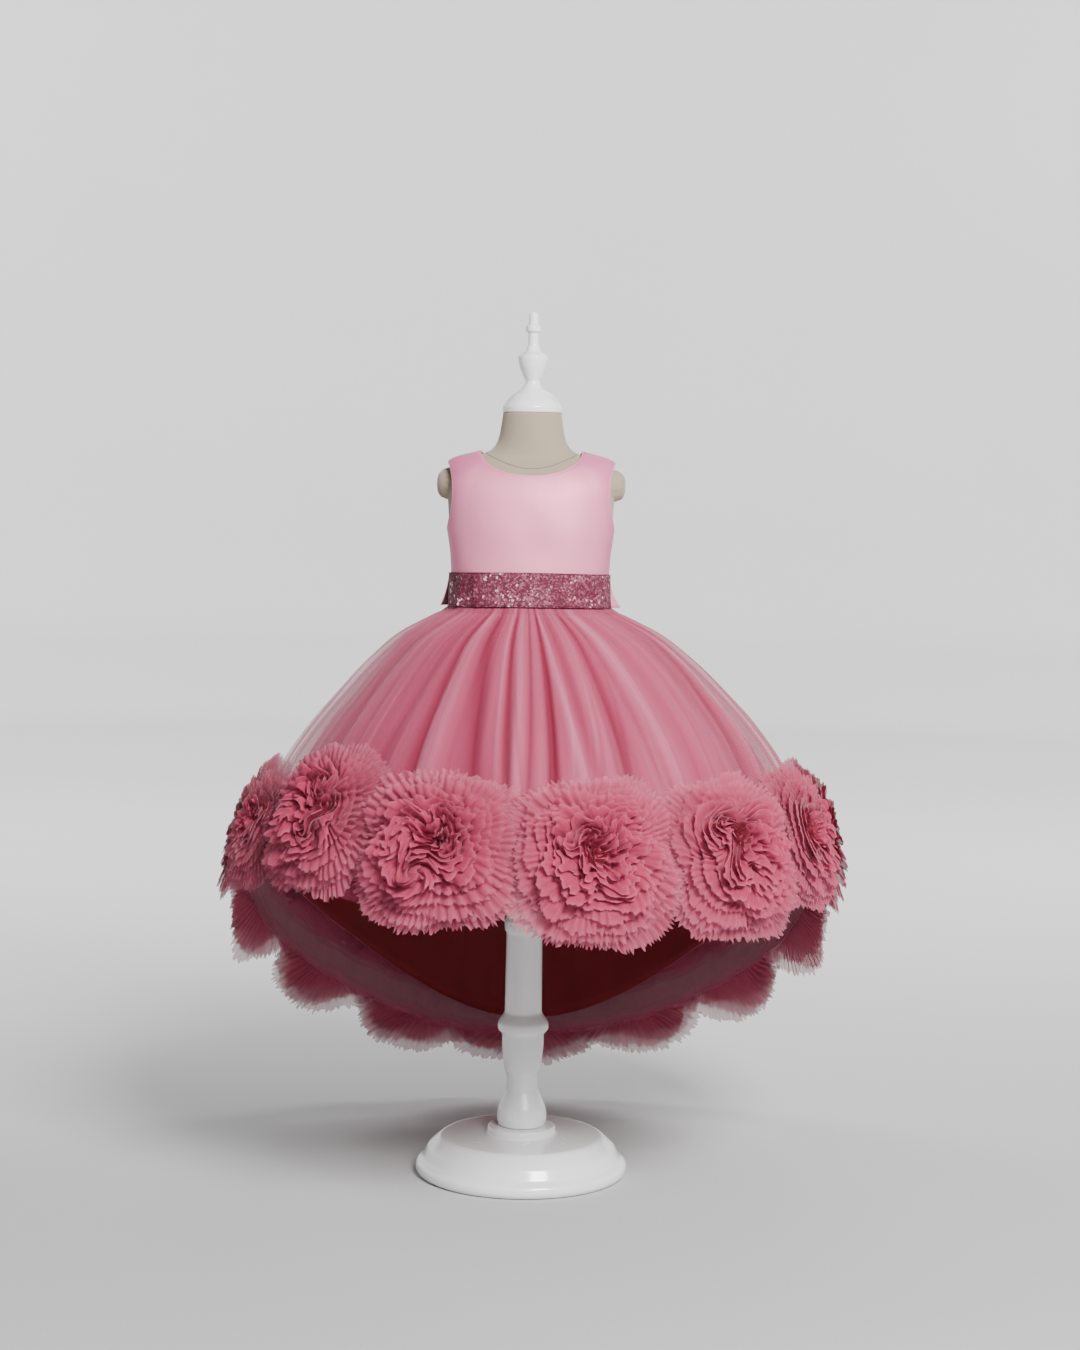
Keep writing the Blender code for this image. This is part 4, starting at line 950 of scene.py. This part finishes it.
# Hem rosettes: coiled strips of ruffled net, set side by side round the hem.
rosettes = {
    # azimuth, height of the middle above the net's hem, width, height and lift over the plain ones
    "places": ((-17.0, 0.070, 1.22, 1.08, 1.0), (11.5, 0.062, 1.16, 1.06, 1.0),
               (40.0, 0.056, 1.20, 1.10, 1.0), (67.0, 0.060, 1.12, 1.02, 0.7),
               (96.0, 0.084, 1.24, 1.02, 0.7), (118.0, 0.080, 1.44, 1.02, 0.75),
               (139.0, 0.064, 1.56, 1.02, 0.9), (159.5, 0.052, 1.56, 1.08, 1.0),
               (180.5, 0.044, 1.56, 1.12, 1.0), (201.5, 0.048, 1.56, 1.08, 1.0),
               (222.0, 0.064, 1.56, 1.02, 0.9), (243.0, 0.082, 1.44, 1.02, 0.65),
               (265.0, 0.082, 1.20, 1.04, 0.50), (292.5, 0.056, 1.10, 1.00, 0.55),
               (316.0, 0.086, 1.20, 1.20, 0.9)),
    "reach": 0.088, "air": 0.0015, "seat": 0.0009, "droop": 0.11, "rows": 7, "columnsAWave": 10,
    "eddies": 8, "eddyTurn": 1.15, "eddySize": 0.20, "ripple": 0.0060, "loop": 0.66,
    "innerWave": 0.0145, "outerWave": 0.0074, "fray": 0.030, "rise": 0.10, "square": 3.0,
    "moundDepth": 0.013, "moundSize": (9, 40), "moundReach": 0.64, "moundShare": 0.30,
    "moundRough": 0.002, "cupped": 0.30, "seed": 900,
    # fewest waves of a frill, columns a wave fewer at full reach, how much a frill stands up at
    # the heart and at least and most, and how much less its ripples are at full reach
    "fewest": 5, "fewerColumns": 4.5, "standing": (1.15, 0.15, 0.95), "calmer": 0.45,
    # flat width of the strip, and its length in reaches, of which a share goes with the lift
    "stripWidth": 0.070, "cut": 34.0, "cutLift": 0.55,
    # foot and edge shares of the reach, lift, meanders, meander share, sheerness
    "frills": ((0.30, 1.10, 0.009, 5, 0.040, 1.00), (0.28, 1.01, 0.016, 4, 0.045, 0.95),
               (0.26, 0.92, 0.023, 5, 0.050, 0.75), (0.25, 0.82, 0.030, 6, 0.050, 0.50),
               (0.24, 0.72, 0.036, 5, 0.050, 0.28), (0.22, 0.62, 0.041, 6, 0.050, 0.10),
               (0.20, 0.53, 0.045, 5, 0.055, 0.0), (0.18, 0.44, 0.046, 6, 0.055, 0.0),
               (0.15, 0.35, 0.049, 5, 0.055, 0.0), (0.12, 0.26, 0.048, 4, 0.050, 0.0),
               (0.08, 0.17, 0.050, 3, 0.035, 0.0), (0.03, 0.08, 0.047, 2, 0.010, 0.0)),
}


# Middle of a rosette on the net, with its sideways, upward and outward directions.
def rosetteFrame(azimuth, aboveHem):
    z = hemHeight(np.float64(azimuth), skirt["netHem"]) + aboveHem
    middle = skirtPoint(azimuth, z, folds=0.0)[0]
    sideways = skirtPoint(azimuth + 1.0, z, folds=0.0)[0] - skirtPoint(azimuth - 1.0, z, folds=0.0)[0]
    upward = skirtPoint(azimuth, z + 0.004, folds=0.0)[0] - skirtPoint(azimuth, z - 0.004, folds=0.0)[0]
    sideways = unit(sideways)
    outward = unit(np.cross(sideways, upward))
    return middle, sideways, np.cross(outward, sideways), outward


# Ring of ruffled net in shares of the reach: the radius runs from foot to edge with slow meanders
# and uneven ripples that grow outwards, and the lift follows a quarter sine.  Ripples move flat
# frills out of the skirt and upright ones sideways.
def frillGrid(frill, reach, chance):
    foot, edge, lift, meanders, meander, sheer = frill
    long = rosettes["innerWave"] + (rosettes["outerWave"] - rosettes["innerWave"]) * edge
    waves = max(rosettes["fewest"], int(round(2 * math.pi * edge * reach / long)))
    columns = int(round(waves * (rosettes["columnsAWave"] - rosettes["fewerColumns"] * edge)))
    turn = fullTurn(columns)[None, :]
    t = np.linspace(0, 1, rosettes["rows"])[:, None]
    phase = chance.uniform(0, 2 * math.pi, 9)
    slow = (np.sin(meanders * turn + phase[0] + 0.9 * np.sin(2 * turn + phase[1]))
            + 0.5 * np.sin((meanders + 3) * turn + phase[2]))
    pace = (waves * turn + waves / 13 * np.sin(2 * turn + phase[3])
            + waves / 30 * np.sin(5 * turn + phase[4]) + waves / 85 * np.sin(13 * turn + phase[8]))
    uneven = 0.64 + 0.36 * np.sin(7 * turn + phase[5]) * np.sin(3 * turn + phase[6])
    fold = np.sin(pace) + 0.25 * np.sin(2 * pace + phase[7])
    grow = t ** 1.2
    heart, least, most = rosettes["standing"]
    upright = min(max(heart - edge, least), most)
    ripple = rosettes["ripple"] * (1 - rosettes["calmer"] * edge) * uneven * fold * grow
    radius = foot + (edge - foot) * t ** 1.1 + meander * slow * t + ripple * upright / reach
    radius = radius + rosettes["fray"] * t ** 4 * chance.uniform(-1, 1, turn.shape) * (0.3 + 1.2 * sheer)
    angle = turn - rosettes["loop"] * upright * grow * np.sin(2 * pace) / waves
    height = (lift * np.sin(t * math.pi / 2) ** 0.8 * (1 + rosettes["rise"] * slow)
              + ripple * (1.05 - upright))
    return radius * np.cos(angle), radius * np.sin(angle), height, t + 0 * turn, sheer + 0 * radius


# Low crumpled mound under the frills' edges, so that no gap between them is deep: the frills' lift
# at each radius, less the mound's depth.
def moundGrid(chance):
    rows, columns = rosettes["moundSize"]
    edge, lift = np.array(rosettes["frills"])[:, 1:3].T
    turn = fullTurn(columns)[None, :]
    radius = np.linspace(0.02, rosettes["moundReach"], rows)[:, None] + 0 * turn
    height = np.interp(radius, edge[::-1], lift[::-1]) - rosettes["moundDepth"]
    height = (height + rosettes["moundRough"] * chance.uniform(-1, 1, radius.shape)).clip(0.0, 1.0)
    share = rosettes["moundShare"] + 0 * radius
    return radius * np.cos(turn), radius * np.sin(turn), height, share, 0 * radius


# Turns the points round a few chance middles, each turn dying away as a bell, so that the coils
# run into each other in swirls.
def swirled(x, y, chance):
    for _ in range(rosettes["eddies"]):
        angle, away = chance.uniform(0, 2 * math.pi), chance.uniform(0.12, 0.52)
        dx, dy = x - away * math.cos(angle), y - away * math.sin(angle)
        turn = (chance.uniform(0.6, 1.0) * rosettes["eddyTurn"] * chance.choice([-1.0, 1.0])
                * np.exp(-(dx ** 2 + dy ** 2) / rosettes["eddySize"] ** 2))
        x = x + dx * (np.cos(turn) - 1) - dy * np.sin(turn)
        y = y + dx * np.sin(turn) + dy * (np.cos(turn) - 1)
    return x, y


# Frills and mound, swirled, made square, cupped to the skirt's roundness and set on it.
def makeRosette(number, frameOf, reach, wide, tall, loft):
    middle, sideways, upward, outward = frameOf
    chance = np.random.default_rng(rosettes["seed"] + number)
    grids = [frillGrid(frill, reach, chance) for frill in rosettes["frills"]] + [moundGrid(chance)]
    sizes = [grid[0].shape for grid in grids]
    edges = [frill[1] for frill in rosettes["frills"]] + [rosettes["moundReach"]]
    x, y, height, share, sheer = (np.concatenate([grid[part].ravel() for grid in grids])
                                  for part in range(5))
    x, y = swirled(x, y, chance)
    # rounded square: the reach along the slant grows
    away, square = np.hypot(x, y) + 1e-9, rosettes["square"]
    bend = (np.abs(x / away) ** square + np.abs(y / away) ** square) ** (-1 / square)
    x, y = x * bend, y * bend
    x, y = x * reach * wide, y * reach * (tall - rosettes["droop"] * np.tanh(3 * y))
    height = (rosettes["seat"] + loft * height
              - rosettes["cupped"] / np.linalg.norm(middle[:2]) * x ** 2)
    points = middle + x[:, None] * sideways + y[:, None] * upward + height[:, None] * outward
    starts = np.concatenate([[0], np.cumsum([rows * columns for rows, columns in sizes])])
    cells = np.concatenate([cellsOf(rows, columns, True)[:, ::-1] + start
                            for (rows, columns), start in zip(sizes, starts)])
    spread = np.concatenate([
        spreadOf(rows, columns, True, 5 * math.pi * reach * edge, reach)[:, ::-1]
        + np.array([0.0, 0.11 * place])
        for place, ((rows, columns), edge) in enumerate(zip(sizes, edges))])
    piece = makePiece(f"rosette{number:02d}", points, cells, [finishes["ruffle"]], spread,
                      marks={"reach": share, "sheer": sheer})
    belongs(piece, "ruffle", f"rosette_{number:02d}")


def makeRosettes():
    frames = [rosetteFrame(*row[:2]) for row in rosettes["places"]]
    middles = np.array([place[0] for place in frames])
    apart = np.linalg.norm(middles[:, None] - middles[None], axis=-1)
    apart[np.diag_indices(len(middles))] = np.inf
    reaches = np.minimum(apart.min(axis=1) / 2 - rosettes["air"], rosettes["reach"])
    for number, (row, place, reach) in enumerate(zip(rosettes["places"], frames, reaches), start=1):
        makeRosette(number, place, reach, *row[2:])


makeRosettes()
print("rosettes made")


# Round pale sweep, soft lamps and the camera.
studio = {
    # radius and height of the sweep, from the floor up to its rim
    "sweep": ((0.0, 0.0), (2.0, 0.0), (4.6, 0.0), (5.2, 0.08), (5.7, 0.35), (6.0, 0.80),
              (6.1, 1.40), (6.1, 3.60)),
    "sweepDark": (0.50, 0.50, 0.505), "sweepLight": (0.52, 0.52, 0.525), "rings": 42, "sides": 96,
    "world": (0.92, 0.93, 0.95), "worldLight": 0.06,
    # place, aim, size, watts, colour; the last two light the sweep behind
    "lamps": (((1.2, -2.8, 2.75), (0, 0, 0.90), 1.2, 325.0, (1.0, 0.985, 0.97)),
              ((0.2, -3.3, 1.7), (0, 0, 0.85), 1.2, 14.0, (1.0, 1.0, 1.0)),
              ((0.3, 2.8, 3.0), (0, 0.6, 0.9), 2.0, 30.0, (1.0, 1.0, 1.0)),
              ((-2.6, 1.8, 3.3), (-1.6, 6.0, 1.0), 2.0, 330.0, (1.0, 1.0, 1.0)),
              ((2.6, 1.8, 3.3), (1.6, 6.0, 1.0), 2.0, 330.0, (1.0, 1.0, 1.0))),
    "cameraPlace": (0.0145, -3.125, 0.877), "pitchDown": 4.46, "roll": 0.9, "lens": 66.667,
    "sensor": 36.0,
}


def makeStudio():
    radius, height = np.array(studio["sweep"]).T
    rings, sides = studio["rings"], studio["sides"]
    steps, numbers = np.linspace(0, len(radius) - 1, rings + 1), np.arange(len(radius), dtype=float)
    radius, height = np.interp(steps, numbers, radius), np.interp(steps, numbers, height)
    angle = fullTurn(sides)
    sweep = np.stack([radius[1:, None] * np.cos(angle), radius[1:, None] * np.sin(angle),
                      height[1:, None] + 0 * angle], axis=-1).reshape(-1, 3)
    points = np.concatenate([sweep, [[0, 0, 0]]]) - np.array([0, 0, 0.0005])
    cells = cellsOf(rings, sides, True)[:, ::-1].tolist()
    middle = [[number, (number + 1) % sides, len(sweep)] for number in range(sides)]
    paper = Finish("paleSweep", Roughness=0.9)
    paper.set("Base Color", paper.blend(paper.noise(2.0, 2.0), studio["sweepDark"],
                                        studio["sweepLight"]))
    floor = makePiece("paleSweep", points, cells + middle, [paper.material])
    world = bpy.data.worlds.new("softRoom")
    world.use_nodes = True
    sky = world.node_tree.nodes["Background"]
    sky.inputs["Color"].default_value = (*studio["world"], 1)
    sky.inputs["Strength"].default_value = studio["worldLight"]
    bpy.context.scene.world = world
    for number, (place, aim, size, watts, colour) in enumerate(studio["lamps"], start=1):
        light = bpy.data.lights.new(f"softLamp{number}", "AREA")
        light.size, light.energy, light.color = size, watts, colour
        lamp = bpy.data.objects.new(f"softLamp{number}", light)
        away = np.array(place) - np.array(aim)
        lamp.location = place
        lamp.rotation_euler = (math.acos(away[2] / np.linalg.norm(away)), 0,
                               math.atan2(away[0], -away[1]))
        bpy.context.scene.collection.objects.link(lamp)
    lens = bpy.data.cameras.new("mainCamera")
    lens.lens, lens.sensor_width, lens.sensor_fit = studio["lens"], studio["sensor"], "AUTO"
    camera = bpy.data.objects.new("mainCamera", lens)
    tilt = Matrix.Rotation(math.radians(90 - studio["pitchDown"]), 4, "X")
    camera.matrix_world = (Matrix.Translation(studio["cameraPlace"]) @ tilt
                           @ Matrix.Rotation(math.radians(studio["roll"]), 4, "Z"))
    bpy.context.scene.collection.objects.link(camera)
    bpy.context.scene.camera = camera


makeStudio()
print("studio made")
